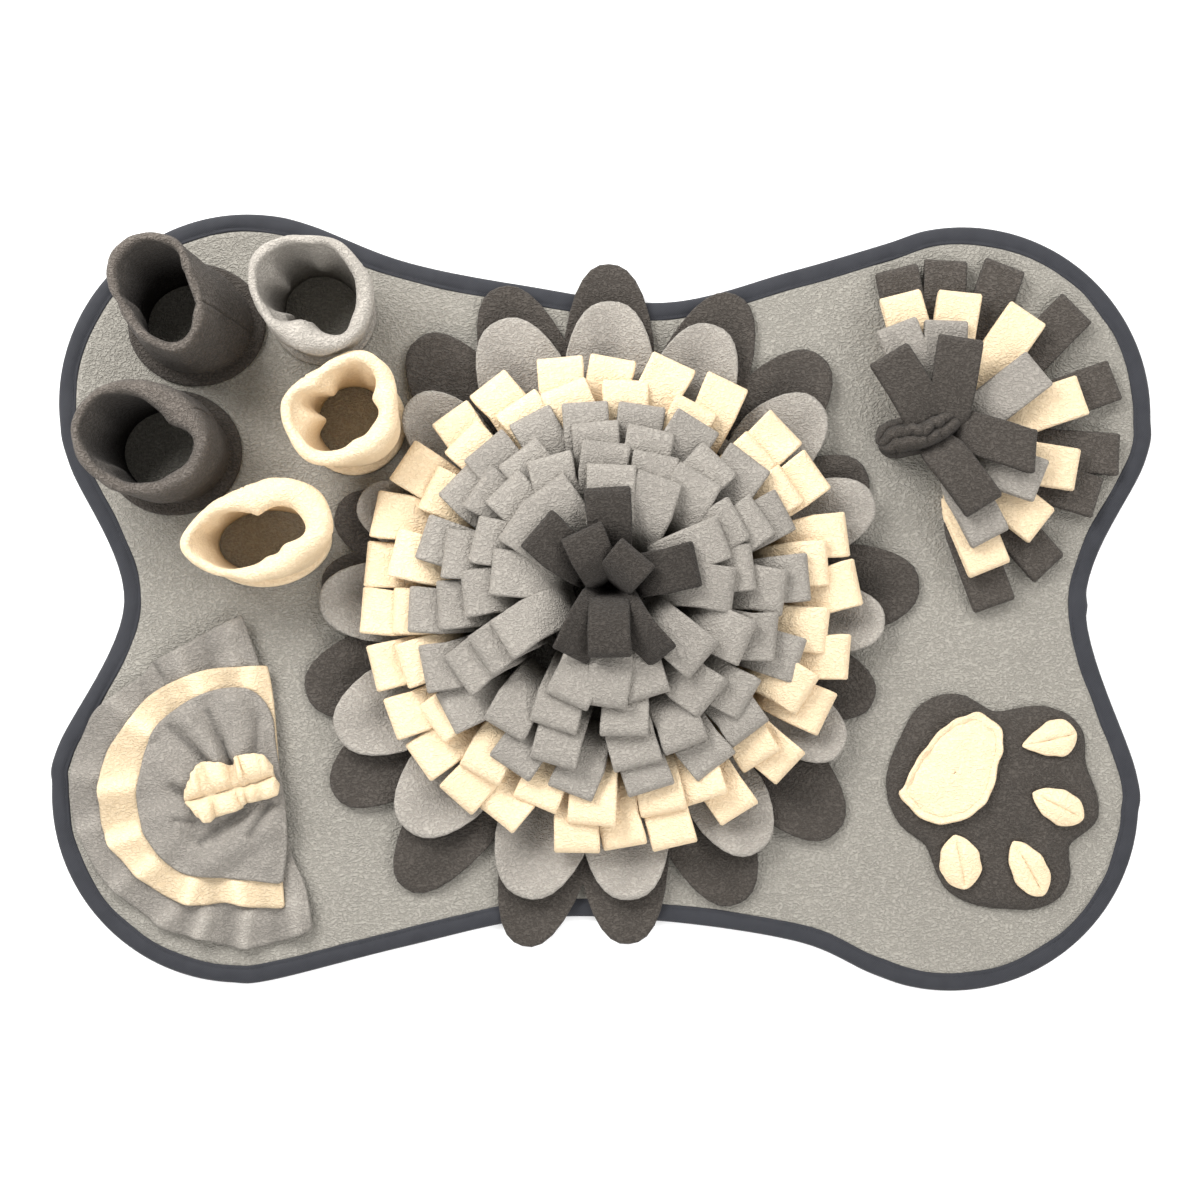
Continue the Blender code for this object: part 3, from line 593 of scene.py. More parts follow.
def band(root, under, reach, centre=FLOWER, spread=(0, 360), columns=96):
    """The backing strip: a flat strip of cloth round centre, root plus and minus reach, rolled into a
    closed ring or an arc of the given bearings."""
    whole = spread[1] - spread[0] >= 360
    turn = np.arange(columns) * 360 / columns if whole else np.linspace(*spread, columns + 1)[:-1]
    b, r = np.radians(turn), root + np.linspace(-reach, reach, 4)[:, None]
    grid = round_about(centre, b, r, 0, 0 * r * b + under + 0.9)
    return cloth_shells(grid[None], BAND_THICKNESS, wraps=whole)


dark_fleece = fleece("dark_fleece", (0.084, 0.073, 0.063), (0.055, 0.047, 0.040),
                     820.0, 0.05, 0.0018, 0.14)
grey_fleece = fleece("grey_fleece", (0.372, 0.342, 0.302), (0.296, 0.272, 0.240),
                     840.0, 0.04, 0.0012, 0.10)
for colour, cloth, seed in (("dark", dark_fleece, 21), ("grey", grey_fleece, 22)):
    layer = "petals_" + colour
    root, under = PETAL_LAYERS[layer][0], PETAL_LAYERS[layer][2]
    grids, shade = petals(layer, seed)
    shade = shade * np.random.default_rng(seed + 50).uniform(0.97, 1.08, (len(grids), 1, 1))
    ring = band(root + 3, under, 4.5)
    tint = np.concatenate([shell_tint(shade), np.ones(len(ring[0]))])
    piece = add_piece(colour + "_petals", *joined(cloth_shells(grids, FLEECE), ring), cloth, layer,
                      colour + "_fleece", tint)
    blank, area = PETAL_CUTS[layer]

# ---------------------------------------------------------------- fringe of folded loops
# Eight rings of fleece strips folded in half and sewn in circles over one another, cream outside,
# grey inside and a few dark ones in the middle. Each loop leans outwards over the ring below it.
FLOOR = 4.3  # the level that the pieces on the panel lie at
LOOP_RINGS = {  # ring: centre y, root radius, tip radius or one for each loop, tip height,
    # half thickness there, width, bearings
    "ring_cream_1": (0, 112, 156, 23, 5.0, 27, (
        3, 18, 32, 45, 61, 77, 91, 103, 117, 131, 145, 157, 170, 183, 196, 210, 221, 233, 244, 261,
        272, 285, 301, 317, 332, 345)),
    "ring_cream_2": (0, 96, 137, 30, 4.6, 28, (
        12, 33, 46, 67, 85, 100, 113, 131, 146, 167, 183, 197, 214, 231, 250, 265, 285, 298, 316,
        336, 352)),
    "ring_grey_1": (1.5, 80, 123, 36.5, 4.4, 28, (
        7, 27, 43, 65, 80, 98, 112, 129, 143, 161, 184, 203, 217, 240, 261, 281, 301, 319, 342)),
    "ring_grey_2": (4, 65, 107, 43, 4.4, 28, (
        4, 26, 53, 75, 95, 121, 138, 163, 183, 205, 229, 250, 278, 299, 321, 343)),
    "ring_grey_3": (7, 50, 91, 49, 4.4, 28, (
        11, 30, 49, 68, 94, 118, 136, 156, 179, 204, 245, 278, 310, 340)),
    "ring_grey_4": (10.5, 35, 74, 55, 4.4, 27, (
        1, 24, 61, 90, 122, 146, 173, 203, 252, 271, 291, 322)),
    "ring_dark": (14, 20, (54, 56, 55), 61, 4.6, 27, (8, 90, 150)),
    "ring_top_dark": (10, 6.5, (27, 38, 49, 43, 54), 67, 4.4, 25, (50, 121, 237, 268, 301)),
}
CROWDED_ROOTS = {"ring_grey_4": 26, "ring_dark": 15}  # root radius under the loops on top
TOP_LIFTS = np.array([1.5, 0.0, -5.5, 0.6, -5.0])  # which of the loops on top lies over the next
TOP_LEANS = np.array([6.0, -8.0, -34.0, 4.0, 34.0])  # degrees that each is turned on its side
CREAM_LEAN = 15.0  # degrees that the cream loops at the lower right are turned
LOOP_TINTS = {"dark": (0.68, 0.80), "grey": (0.89, 1.01), "cream": (0.95, 1.03)}
LOOP_SWING = 12.0
LOOP_PIVOT = 0.33
ROOT_LEVEL = 6.3
LOOP_STEPS = 7
FOLD_STEPS = 7
LOOP_ACROSS = (-1, -0.9, -0.4, 0.4, 0.9, 1)


def hairpin(root, reach, height, half, base):
    """The middle line of a folded loop, (radius, z): a Bezier curve from (root, base) through the
    pull point (root - 5, 1.05 height) to the fold at height, offset to both sides by a growing
    distance, and half an ellipse round its end, 1.5 times as long as half. Returns the line, and the
    share of the way to the tip."""
    tight = half - FLEECE / 2
    start, pull, end = (np.stack(np.broadcast_arrays(x, z), -1) for x, z in (
        (root, base), (root - 5, base + (height - base) * 1.05),
        (reach - 1.5 * tight - FLEECE / 2, height)))
    t = np.linspace(0, 1, LOOP_STEPS)[None, :, None]
    start, pull, end, tight = start[:, None], pull[:, None], end[:, None], tight[:, None, None]
    middle = (1 - t) ** 2 * start + 2 * t * (1 - t) * pull + t * t * end
    along = 2 * (1 - t) * (pull - start) + 2 * t * (end - pull)
    along /= np.linalg.norm(along, axis=-1, keepdims=True)
    normal = np.stack([-along[..., 1], along[..., 0]], -1)
    away = 2.2 + (tight - 2.2) * np.sin(t * math.pi / 2)
    k = np.linspace(-math.pi / 2, math.pi / 2, FOLD_STEPS + 2)[None, 1:-1, None]
    fold = middle[:, -1:] + tight * (1.5 * np.cos(k) * along[:, -1:] + np.sin(k) * normal[:, -1:])
    line = np.concatenate([middle - normal * away, fold, (middle + normal * away)[:, ::-1]], 1)
    share = np.concatenate([t[0, :, 0], np.ones(FOLD_STEPS), t[0, ::-1, 0]])
    return line, share


def loops(centre, row, seed, lift=0.0, twist=0.0):
    """Folded loops side by side: each carries its hairpin line across the strip's width as
    centre + radius (cos b, sin b) + u half width (-sin b, cos b). The strip narrows towards its root,
    its outer part swings by up to LOOP_SWING degrees about a point a third of the way out, one side
    stands higher than the other, by twist degrees more at the lower right or for each loop, the middle
    sags or swells by up to 1 mm, and neighbours lie by turns 1 mm higher and lower."""
    root, reach, height, half, width, bearings = row
    b = np.radians(np.array(bearings, float))
    gaps = np.abs((np.roll(b, -1) - b + math.pi) % (2 * math.pi) - math.pi)
    dice = np.random.default_rng(seed)
    yaw, roll, dip, long, thick, arch = dice.uniform(-1, 1, (6, len(b)))
    reach = np.broadcast_to(reach, len(b)) + 2.4 * long * (len(b) > 6)
    steps = np.where(np.arange(len(b)) % 2, 1.0, -1.0) * (len(b) > 6)
    line, share = hairpin(np.full(len(b), float(root)), reach, height + steps + 0.6 * dip + lift,
                          half * (1 - 0.12 * thick), ROOT_LEVEL)
    room = 0.92 * np.minimum(gaps, np.roll(gaps, 1)) / 2 * root
    at_root = np.minimum(width / 2, room)[:, None]
    wide = at_root + (width / 2 * (1 + 0.05 * arch[:, None]) - at_root) * np.clip(share * 2.6, 0, 1)
    wide = wide * (1 - 0.05 * np.sin(math.pi * share))
    u = np.array(LOOP_ACROSS)[None, None, :]
    share = share[None, :, None]
    at_right = np.exp(-((np.degrees(b) % 360 - 312) / 32) ** 2)
    turned = np.where(np.ndim(twist) == 1, twist, twist * at_right)
    lean = np.radians(4.5 + 5.0 * roll + turned)[:, None, None] * share ** 1.5
    z = line[..., 1][..., None] + u * wide[..., None] * np.sin(lean)
    z += 1.1 * (arch + 0.3)[:, None, None] * (u ** 2 - 0.3) * share
    side = u * wide[..., None] * np.cos(lean)
    span = (reach - root)[:, None, None]
    out = line[..., 0][..., None] - root - LOOP_PIVOT * span
    swing = np.radians(LOOP_SWING) * yaw[:, None, None] * np.clip(out / (0.5 * span), 0, 1)
    radius = root + LOOP_PIVOT * span + out * np.cos(swing) - side * np.sin(swing)
    side = side * np.cos(swing) + out * np.sin(swing)
    return round_about(centre, b[:, None, None], radius, side, np.maximum(z, 5.2))


def sewn_strips(grids, backing, seed, low, high):
    """Strips of fleece and the backing they are sewn to, as one: points, quads, and a tint for each
    strip between low and high, with 0.9 on the backing."""
    shells = cloth_shells(grids, FLEECE)
    tint = np.random.default_rng(seed).uniform(low, high, len(grids))
    tint = np.repeat(tint, len(shells[0]) // len(grids))
    return *joined(shells, backing), np.concatenate([tint, np.full(len(backing[0]), 0.9)])


cream_fleece = fleece("cream_fleece", (0.86, 0.685, 0.465), (0.79, 0.615, 0.40),
                      760.0, 0.02, 0.0008, 0.06)
cloths = {"cream": cream_fleece, "grey": grey_fleece, "dark": dark_fleece}
for seed, (ring, (centre_y, root, *row)) in enumerate(LOOP_RINGS.items(), 31):
    colour = next(word for word in cloths if word in ring)
    root = CROWDED_ROOTS.get(ring, root)
    reach, height, half, width, bearings = row
    lift, twist = 0.0, CREAM_LEAN if colour == "cream" else 0.0
    if ring == "ring_top_dark":
        lift, twist = TOP_LIFTS, TOP_LEANS
    middle = (FLOWER[0], centre_y)
    grids = loops(middle, (root, *row), seed, lift, twist)
    sewn = (-5, 163) if ring == "ring_dark" else (0, 360)
    backing = band(root, FLOOR, min(4.5, root - 1.0), middle, sewn)
    points, faces, tint = sewn_strips(grids, backing, seed + 90, *LOOP_TINTS[colour])
    piece = add_piece("loops_" + ring.replace("ring_", ""), points, faces, cloths[colour], ring,
                      colour + "_fleece", tint)

# ---------------------------------------------------------------- standing pockets
# Five short tubes of fleece, doubled by folding the top over inwards, closed with one upright seam and
# sewn to the panel by a turned-out foot. The soft rims sag into uneven round and pinched mouths.
POCKETS = {  # pocket: foot x, y, half x, half y; rim x, y; turn of the foot, height, bearing of the
    # seam, tilt of the rim, cloth
    "pocket_1": (-257, 176, 36, 31, -268, 186, 0, 66, -8, 2.5, "dark"),
    "pocket_2": (-177, 184, 29, 28, -176, 186, -20, 65, 258, 2.0, "grey"),
    "pocket_3": (-272, 95, 36, 32, -279, 99, 0, 65, 30, 1.5, "dark"),
    "pocket_4": (-157, 114, 28, 28, -157, 117, 12, 62, 140, 2.0, "cream"),
    "pocket_5": (-212, 39, 36, 24, -210, 44, 6, 56, 108, 1.5, "cream"),
}
RIMS = {  # pocket: outer radius of the rim every 24 degrees, then inner radius
    "pocket_1": (
        (26.2, 24.7, 28.7, 35.1, 37.4, 38.4, 37.3, 31.0, 25.0, 25.0, 26.7, 30.9, 36.6, 34.3, 30.0),
        (23.3, 21.6, 22.0, 30.9, 32.1, 31.7, 28.6, 23.8, 20.8, 17.7, 21.1, 24.9, 30.2, 28.5, 22.9),
    ),
    "pocket_2": (
        (37.9, 36.9, 36.3, 36.9, 35.9, 39.7, 42.7, 38.5, 33.5, 31.4, 32.2, 34.8, 36.5, 38.3, 38.0),
        (27.2, 27.8, 29.2, 31.1, 31.7, 33.9, 35.3, 33.9, 30.1, 25.0, 17.1, 15.6, 23.3, 30.3, 27.4),
    ),
    "pocket_3": (
        (41.1, 38.9, 36.5, 35.8, 36.5, 39.2, 41.4, 42.4, 40.1, 36.7, 34.8, 34.0, 34.8, 37.5, 39.8),
        (31.7, 20.7, 19.1, 21.5, 25.6, 31.6, 37.5, 37.2, 33.2, 29.2, 27.3, 26.8, 26.8, 27.6, 30.6),
    ),
    "pocket_4": (
        (32.9, 35.3, 37.8, 38.0, 32.4, 29.3, 31.6, 36.9, 37.7, 37.3, 38.0, 33.4, 31.8, 33.3, 34.6),
        (21.4, 19.0, 28.7, 29.9, 25.2, 22.1, 21.3, 30.4, 30.6, 30.0, 28.4, 23.9, 19.8, 19.8, 20.4),
    ),
    "pocket_5": (
        (45.9, 45.2, 40.6, 33.9, 29.4, 28.0, 31.6, 38.5, 48.3, 40.7, 33.6, 31.5, 31.0, 32.5, 36.4),
        (28.9, 26.1, 20.5, 12.0, 9.4, 12.5, 19.5, 30.3, 41.5, 34.6, 26.9, 20.7, 17.2, 17.8, 19.1),
    ),
}
INNER_FOLDS = {  # pocket: bearing, depth and half width of each fold that stands in from the wall
    "pocket_1": ((150, 4, 16), (200, 5, 14)),
    "pocket_2": ((150, 12, 16), (212, 9, 14), (80, 6, 18), (275, 7, 16)),
    "pocket_3": ((160, 5, 16), (215, 5, 14)),
    "pocket_4": ((188, 14, 20), (125, 9, 22), (60, 4, 14)),
    "pocket_5": ((196, 5, 12), (165, 3, 12)),
}
FOOT_PROFILE = (  # distance out from the wall's foot, height
    (-1.0, 4.3), (4.4, 4.35), (5.2, 5.2), (4.8, 6.6), (3.4, 7.2), (0.8, 6.8), (-0.6, 7.6),
    (0.0, 9.2),
)
POCKET_COLUMNS = 144
POCKET_WALL = 5.0
NARROWEST_RIM = 5.5
WALL_ROWS = 15
RIM_ROWS = 12
INSIDE_ROWS = 13
POCKET_SHADES = {  # cloth: how much lighter the rim is as painted highlight, tint of the painted shade at the foot inside
    "dark": (0.95, 0.50), "grey": (0.30, 0.62), "cream": (0.0, 0.90),
}


def round_table(values, bearings):
    """Values given at even bearings all round, joined at any bearing by the Catmull-Rom rule."""
    values = np.array(values, float)
    spot = np.asarray(bearings, float) % 360 / 360 * len(values)
    at = np.floor(spot).astype(int)
    return catmull_rom(*(values[(at + k) % len(values)] for k in (-1, 0, 1, 2)), spot - at)


def pocket(name, seed):
    """One closed wall. Its profile goes, at every bearing, from the underside of the foot out and up
    the outer wall, over a half ellipse from the outer to the inner rim radius, and down inside, where
    the wall falls back from the rim. Between foot and rim the centre and the outer radius blend by
    height; soft waves dent the wall, and a narrow groove between two swells is the seam."""
    foot_x, foot_y, half_x, half_y, rim_x, rim_y, turn, height, seam, tilt, colour = POCKETS[name]
    step = np.arange(POCKET_COLUMNS) / POCKET_COLUMNS
    bearing = seam + 360 * (step - 0.86 * np.sin(2 * math.pi * step) / (2 * math.pi))
    b, spun = np.radians(bearing), np.radians(bearing - turn)
    foot = 1 / np.sqrt((np.cos(spun) / half_x) ** 2 + (np.sin(spun) / half_y) ** 2)
    outer, inner = (round_table(row, bearing) for row in RIMS[name])
    inner = np.minimum(inner, outer - NARROWEST_RIM)
    dice = np.random.default_rng(seed)
    p1, p2, p3, p4 = dice.uniform(0, 2 * math.pi, 4)
    top = height - 2.2 + tilt * 0.5 * np.cos(b - p1) + 1.3 * np.sin(2 * b + p2)
    top += 0.5 * np.sin(5 * b + p3)
    lip = np.minimum((outer - inner) / 2, 7.0)
    gap = (bearing - seam + 180) % 360 - 180
    ease = np.exp(-(gap / 1.1) ** 2) - 0.45 * np.exp(-((np.abs(gap) - 3.6) / 1.9) ** 2)
    rows = []

    def row(radius, z, share, groove):
        x = foot_x + (rim_x - foot_x) * share
        y = foot_y + (rim_y - foot_y) * share
        radius = radius - groove * ease
        rows.append(np.stack([x + radius * np.cos(b), y + radius * np.sin(b), z + 0 * b], -1))

    wide = 1.5 if colour == "dark" else 1.0
    for out, z in FOOT_PROFILE:
        row(foot + out * wide, z + 0.4 * np.sin(5 * b + p1), 0.0, 0.3)
    above_foot = FOOT_PROFILE[-1][1]
    for s in np.linspace(0.06, 1, WALL_ROWS):
        z = above_foot + (top - lip - above_foot) * s
        radius = foot + (outer - foot) * s ** 1.15 + 1.4 * math.sin(math.pi * s)
        sag = 0.75 * np.sin(z / 4.6 + 1.6 * np.sin(b + p2) + p3) * np.sin(math.pi * min(1, 1.25 * s))
        dent = 1.3 * np.sin(3 * b + 0.05 * z + p4) * math.sin(math.pi * s)
        dent += 0.5 * np.sin(8 * b + p1 - z / 14) * s
        row(radius + sag + dent, z, s, 0.9)
    middle, half = (outer + inner) / 2, (outer - inner) / 2
    for k in np.linspace(0, math.pi, RIM_ROWS + 1)[1:]:
        radius = middle + half * math.cos(k) + 0.3 * np.sin(9 * b + p2 + 2 * k)
        row(radius, top - lip + lip * math.sin(k), 1.0, 0.35)
    wall = foot - POCKET_WALL
    for s in np.linspace(0, 1, INSIDE_ROWS + 1)[1:]:
        z = (top - lip) * (1 - s) + FLOOR * s
        radius = (outer - POCKET_WALL) * (1 - s) + wall * s
        fall = min(1.0, 3.2 * s)
        fall = fall * fall * (3 - 2 * fall)
        radius = inner * (1 - fall) + radius * fall
        for at, deep, spread in INNER_FOLDS[name]:
            turned = (bearing - at + 180) % 360 - 180
            fold = deep * np.exp(-(turned / spread) ** 2)
            radius = radius - fold * math.sin(math.pi * min(1, s + 0.12))
        row(radius + 0.7 * np.sin(3 * b + p1 + 0.05 * z) * math.sin(math.pi * s), z, 1 - s, 0.1)
    return np.stack(rows)


for seed, (name, pocket_sizes) in enumerate(POCKETS.items(), 61):
    rows = pocket(name, seed)
    _, _, half_x, half_y, _, _, _, height, _, _, colour = pocket_sizes
    gain, inside = POCKET_SHADES[colour]
    from_rim = np.arange(len(rows)) - len(FOOT_PROFILE) - WALL_ROWS
    # painted shade darkening the inside down to the foot, and a painted highlight over the rim
    tint = np.interp(from_rim, (10, 17), (1, inside)) + gain * np.exp(-((from_rim - 4) / 5.5) ** 2)
    piece = add_piece("standing_" + name, rows.reshape(-1, 3), ring_quads(*rows.shape[:2], True),
                      cloths[colour], name, colour + "_fleece", np.repeat(tint, POCKET_COLUMNS))

# ---------------------------------------------------------------- half rosette
# Three half rounds of fleece, grey, cream and grey, gathered on one point near the mat's left end so
# that they pleat and flutter, with a cream ruffle sewn over the gathered point.
GATHERED_AT = (-238.0, -112.3)  # where the pleats of the upper layer meet, under the ruffle
ROSETTE_EDGES = (  # x and y along the edge of the lower, the middle and the upper layer, anticlockwise
    ((-184.5, -207), (-183.6, -203), (-187.5, -181), (-197, -158), (-203, -128), (-207, -95),
     (-211, -62), (-217, -39), (-222.5, -23), (-226.5, -11.5), (-229.5, -10), (-246, -17.5),
     (-264, -28), (-281, -36.5), (-285, -39), (-291, -47), (-308, -59), (-322.6, -71.6),
     (-332, -96), (-335.6, -122), (-331.6, -145), (-317.7, -171), (-298, -190.5), (-275, -207),
     (-254, -211.6), (-234.7, -217.5), (-213.6, -217), (-190, -209)),
    ((-201.5, -192), (-200.8, -188), (-203, -165), (-204, -140), (-205, -106), (-207, -73),
     (-208.5, -58), (-211.2, -43), (-214, -40.8), (-230, -41.5), (-248, -43), (-264, -48),
     (-279, -55), (-290, -64), (-298, -75), (-307, -86), (-313, -97), (-317, -122), (-313, -148),
     (-301, -164), (-285, -179), (-269, -188), (-253, -190.5), (-238, -189), (-222, -192),
     (-206, -192.6)),
    ((-202.2, -175.5), (-200.5, -172), (-199, -150), (-200, -129), (-204, -106), (-206.5, -88),
     (-208, -74), (-214, -62), (-224, -55), (-240, -55), (-257.5, -61), (-270, -69), (-279, -77),
     (-285, -88), (-289, -100), (-292.5, -122), (-291, -135), (-287, -147), (-275, -163),
     (-262, -171), (-238, -173), (-220, -175), (-206, -176.6)),
)
ROSETTE_STEP = 2.7
ROSETTE_COLUMNS = 320
ROSETTE_ROWS = 44
TOP_FOLDS = (  # ridges and creases of the upper layer: x1, y1, x2, y2, half width, height
    (-260, -74, -243, -97, 8.5, 6.0), (-231, -64, -225, -95, 9.0, 6.0),
    (-280, -98, -262, -110, 9.5, 4.6), (-282, -134, -264, -131, 8.5, 4.0),
    (-264, -143, -274, -154, 8.0, 3.0), (-214, -141, -246, -163, 9.5, 6.0),
    (-206, -134, -209, -164, 7.0, 2.4), (-214, -80, -214, -96, 6.0, 2.0),
    (-238, -98, -238, -128, 12, 4.0), (-273, -77, -248, -101, 3.4, -6.5),
    (-248.5, -68, -233, -102, 3.2, -6.0), (-270, -117, -258, -123.5, 3.0, -5.0),
    (-226, -132, -253, -150, 3.6, -7.0), (-209, -127, -221, -146, 3.2, -4.0),
    (-217, -70, -218, -94, 3.0, -2.6), (-268, -137, -252, -139, 2.6, -2.4),
)
LOWER_FLUTES = (  # ridges and troughs of the lower layer's outer part
    (-250, -200, -256, -214, 5.0, 3.4), (-236, -198, -237, -219, 4.0, -1.0),
    (-224, -200, -226, -220, 5.5, 3.2), (-206, -198, -207, -220, 4.0, -0.8),
    (-195, -192, -192, -210, 5.0, 2.4), (-272, -196, -282, -206, 5.0, 2.0),
    (-262, -197, -267, -212, 3.5, -0.8), (-300, -176, -316, -188, 6.0, 1.8),
    (-318, -140, -334, -146, 7.0, 1.6), (-319, -110, -336, -108, 7.0, 1.4),
    (-312, -88, -330, -78, 5.0, -0.6), (-300, -72, -312, -58, 6.0, 1.8),
    (-288, -60, -292, -50, 3.0, -0.8), (-262, -50, -268, -30, 6.0, 1.8),
    (-246, -44, -250, -20, 4.0, -0.8), (-232, -40, -234, -14, 7.0, 1.8),
    (-199, -170, -186, -196, 6.0, 1.6),
)
MIDDLE_FLUTES = (  # the same of the middle layer
    (-258, -178, -262, -191, 5.0, 2.4), (-246, -178, -246, -192, 4.0, -0.8),
    (-230, -178, -229, -192, 6.0, 2.2), (-214, -180, -213, -194, 4.0, -0.6),
    (-284, -166, -294, -174, 6.0, 2.2), (-272, -172, -280, -184, 4.0, -0.8),
    (-294, -146, -310, -152, 6.0, 2.4), (-300, -134, -316, -134, 5.0, -1.0),
    (-298, -116, -316, -118, 7.0, 2.4), (-296, -98, -312, -92, 5.0, -0.6),
    (-286, -82, -300, -74, 7.0, 2.4), (-272, -66, -278, -54, 5.0, -0.8),
    (-254, -56, -258, -44, 7.0, 2.0), (-238, -52, -238, -40, 4.0, -0.8),
    (-222, -52, -222, -40, 6.0, 1.8),
)
ROSETTE_LAYERS = (  # cloth, its blank and area, folds, how far they stand up, lift of the layer
    ("grey", (0.16, 0.225), 0.0255, LOWER_FLUTES, 1.6, 0.9),
    ("cream", (0.12, 0.175), 0.0158, MIDDLE_FLUTES, 1.6, 0.9),
    ("grey", (0.095, 0.145), 0.0102, TOP_FOLDS, 1.0, 0.6),
)
LAP_BEARING = 120.4  # where the lower layer's upper end laps over the rest, seen from GATHERED_AT
LAP_HEIGHT = 3.0


def creases_only(table):
    """The troughs of a puckers table as shares, for painted shade along the creases: a trough of 4 mm
    or more counts 1 along its line, and each is a fifth narrower."""
    return [(*row[:4], 0.8 * row[4], min(1.0, -row[5] / 4)) for row in table if row[5] < 0]


def rosette_pleats(x, y):
    """Pleats that the layers share: 3 mm r / 80 (1 - cos 9b) / 2 at radius r and bearing b from
    GATHERED_AT, fullest at bearing 200."""
    out_x, out_y = x - GATHERED_AT[0], y - GATHERED_AT[1]
    bearing, radius = np.arctan2(out_y, out_x), np.hypot(out_x, out_y)
    full = 0.5 + 0.5 * np.cos(bearing - math.radians(200))
    return 3.0 * full * radius / 80 * (0.5 - 0.5 * np.cos(9 * bearing))


def lying_level(layer):
    """Height of the middle of layer 1, 2 or 3 where it lies flat."""
    return FLOOR + FLEECE / 2 + (layer - 1) * ROSETTE_STEP


def layer_height(layer, x, y):
    """Height of the middle of a layer: its level, its lift, the shared pleats, its own folds and faint
    waves, and at least 0.3 mm of air and one thickness above the layer below."""
    folds, gain, lift = ROSETTE_LAYERS[layer - 1][3:]
    z = lying_level(layer) + lift + rosette_pleats(x, y) + gain * puckers(x, y, folds)
    z += 0.25 * soft_waves(x, y, 50 + layer, 17)
    return z if layer == 1 else np.maximum(z, layer_height(layer - 1, x, y) + FLEECE + 0.3)


for layer, (colour, blank, area, folds, gain, _) in enumerate(ROSETTE_LAYERS, 1):
    rim = even_steps(spline_through(np.array(ROSETTE_EDGES[layer - 1], float), 10), ROSETTE_COLUMNS)
    share = np.linspace(0.02, 1, ROSETTE_ROWS)[:, None]
    x, y = (GATHERED_AT[k] + share * (rim[:, k] - GATHERED_AT[k]) for k in (0, 1))
    z = layer_height(layer, x, y)
    # Painted light and shade: the upper layer is darkened along its creases; the lower two are lighter
    # on the ridges of their outer flutes and darker in the troughs and between them.
    if layer == 3:
        tint = 0.82 - 0.36 * np.clip(puckers(x, y, creases_only(folds)), 0, 1)
    else:
        ridges = np.clip(gain * puckers(x, y, folds) - 1.2, -3, 4)
        tint = 0.82 + 0.075 * ridges * np.clip(share * 3 - 1.4, 0, 1)
    if layer == 1:
        bearing = np.degrees(np.arctan2(y - GATHERED_AT[1], x - GATHERED_AT[0]))
        outer = np.clip((share - 0.80) * 9, 0, 1)
        lap = np.clip((LAP_BEARING - bearing) / 1.6, 0, 1) * np.clip((bearing - 50) / 20, 0, 1) * outer
        z += LAP_HEIGHT * lap
        # painted shadow just beyond the edge of the lap
        tint = tint - 0.32 * np.exp(-((bearing - LAP_BEARING - 1.0) / 1.0) ** 2) * outer
    grid = np.stack([x, y, np.maximum(z, lying_level(layer))], -1)
    piece = add_piece(f"rosette_layer_{layer}", *cloth_shells(grid[None], FLEECE, wraps=True),
                      cloths[colour], f"rosette_{layer}", colour + "_fleece",
                      shell_tint(tint[None], wraps=True))

RUFFLE_LINE = (
    (-261, -125), (-251, -122.5), (-241, -120), (-230.6, -116.4), (-223, -115), (-214, -112),
    (-206, -109),
)
RUFFLE_UP = (7, 12, 17, 20, 21, 20.5, 18, 13.5, 17, 19, 19, 18.5, 17.5, 15, 6)
RUFFLE_DOWN = (3, 11, 15, 15.5, 13.5, 13, 13.5, 13, 11, 10.2, 10.4, 11, 11.4, 11.4, 6)
FOLD_UP = (0.5, 2.6, 4.8, 1.0, 0.8, 4.8, 5.2, -0.6, 0.6, 5.2, 2.6, 5.6, 6.0, 4.0, 1.0)
FOLD_DOWN = (0.5, 3.0, 5.0, 4.0, 0.4, 4.2, 3.8, 0.2, 2.8, 0.4, 3.2, 0.6, 4.0, 3.6, 1.0)
RUFFLE_STEPS = 85
RUFFLE_ACROSS = 21
RUFFLE_LEVEL = FLOOR + 2 * ROSETTE_STEP + FLEECE + 7.6
RUFFLE_STITCHES = (3.4, 2.4, 0.55)


def along_line(corners, at):
    """Points at the shares at along a line of evenly counted corners, and the unit direction there."""
    line = np.array(corners, float)
    stations = np.linspace(0, 1, len(line))
    middle = np.stack([np.interp(at, stations, line[:, k]) for k in (0, 1)], -1)
    run = np.gradient(middle, axis=0)
    return middle, run / np.linalg.norm(run, axis=1)[:, None]


def smooth_table(values, at):
    """Values at even stations from 0 to 1, joined by half cosines."""
    spot = np.clip(at, 0, 0.99999) * (len(values) - 1)
    low = spot.astype(int)
    t = 0.5 - 0.5 * np.cos(math.pi * (spot - low))
    values = np.array(values, float)
    return values[low] * (1 - t) + values[low + 1] * t


along = np.linspace(0, 1, RUFFLE_STEPS)
across = np.linspace(-1, 1, RUFFLE_ACROSS)[None, :]
middle, run = along_line(RUFFLE_LINE, along)
up, down, high, low = (smooth_table(table, along)[:, None]
                       for table in (RUFFLE_UP, RUFFLE_DOWN, FOLD_UP, FOLD_DOWN))
wide = np.where(across > 0, up, down)
fold = np.where(across > 0, high, low) * np.clip(np.abs(across) * 2.2, 0, 1) ** 0.8
sway = 1.8 * np.abs(across) * np.sin(along * 14 + 0.8)[:, None]
x = middle[:, :1] - run[:, 1:] * across * wide + run[:, :1] * sway
y = middle[:, 1:] + run[:, :1] * across * wide + run[:, 1:] * sway
z = RUFFLE_LEVEL + fold - 2.2 * np.exp(-(across / 0.12) ** 2) - 2.2 * across ** 4
ruffle_grid = np.stack([x, y, z], -1)
seam = ruffle_grid[:, RUFFLE_ACROSS // 2] + (0, 0, 1.35)
thread = stitches(seam, *RUFFLE_STITCHES)
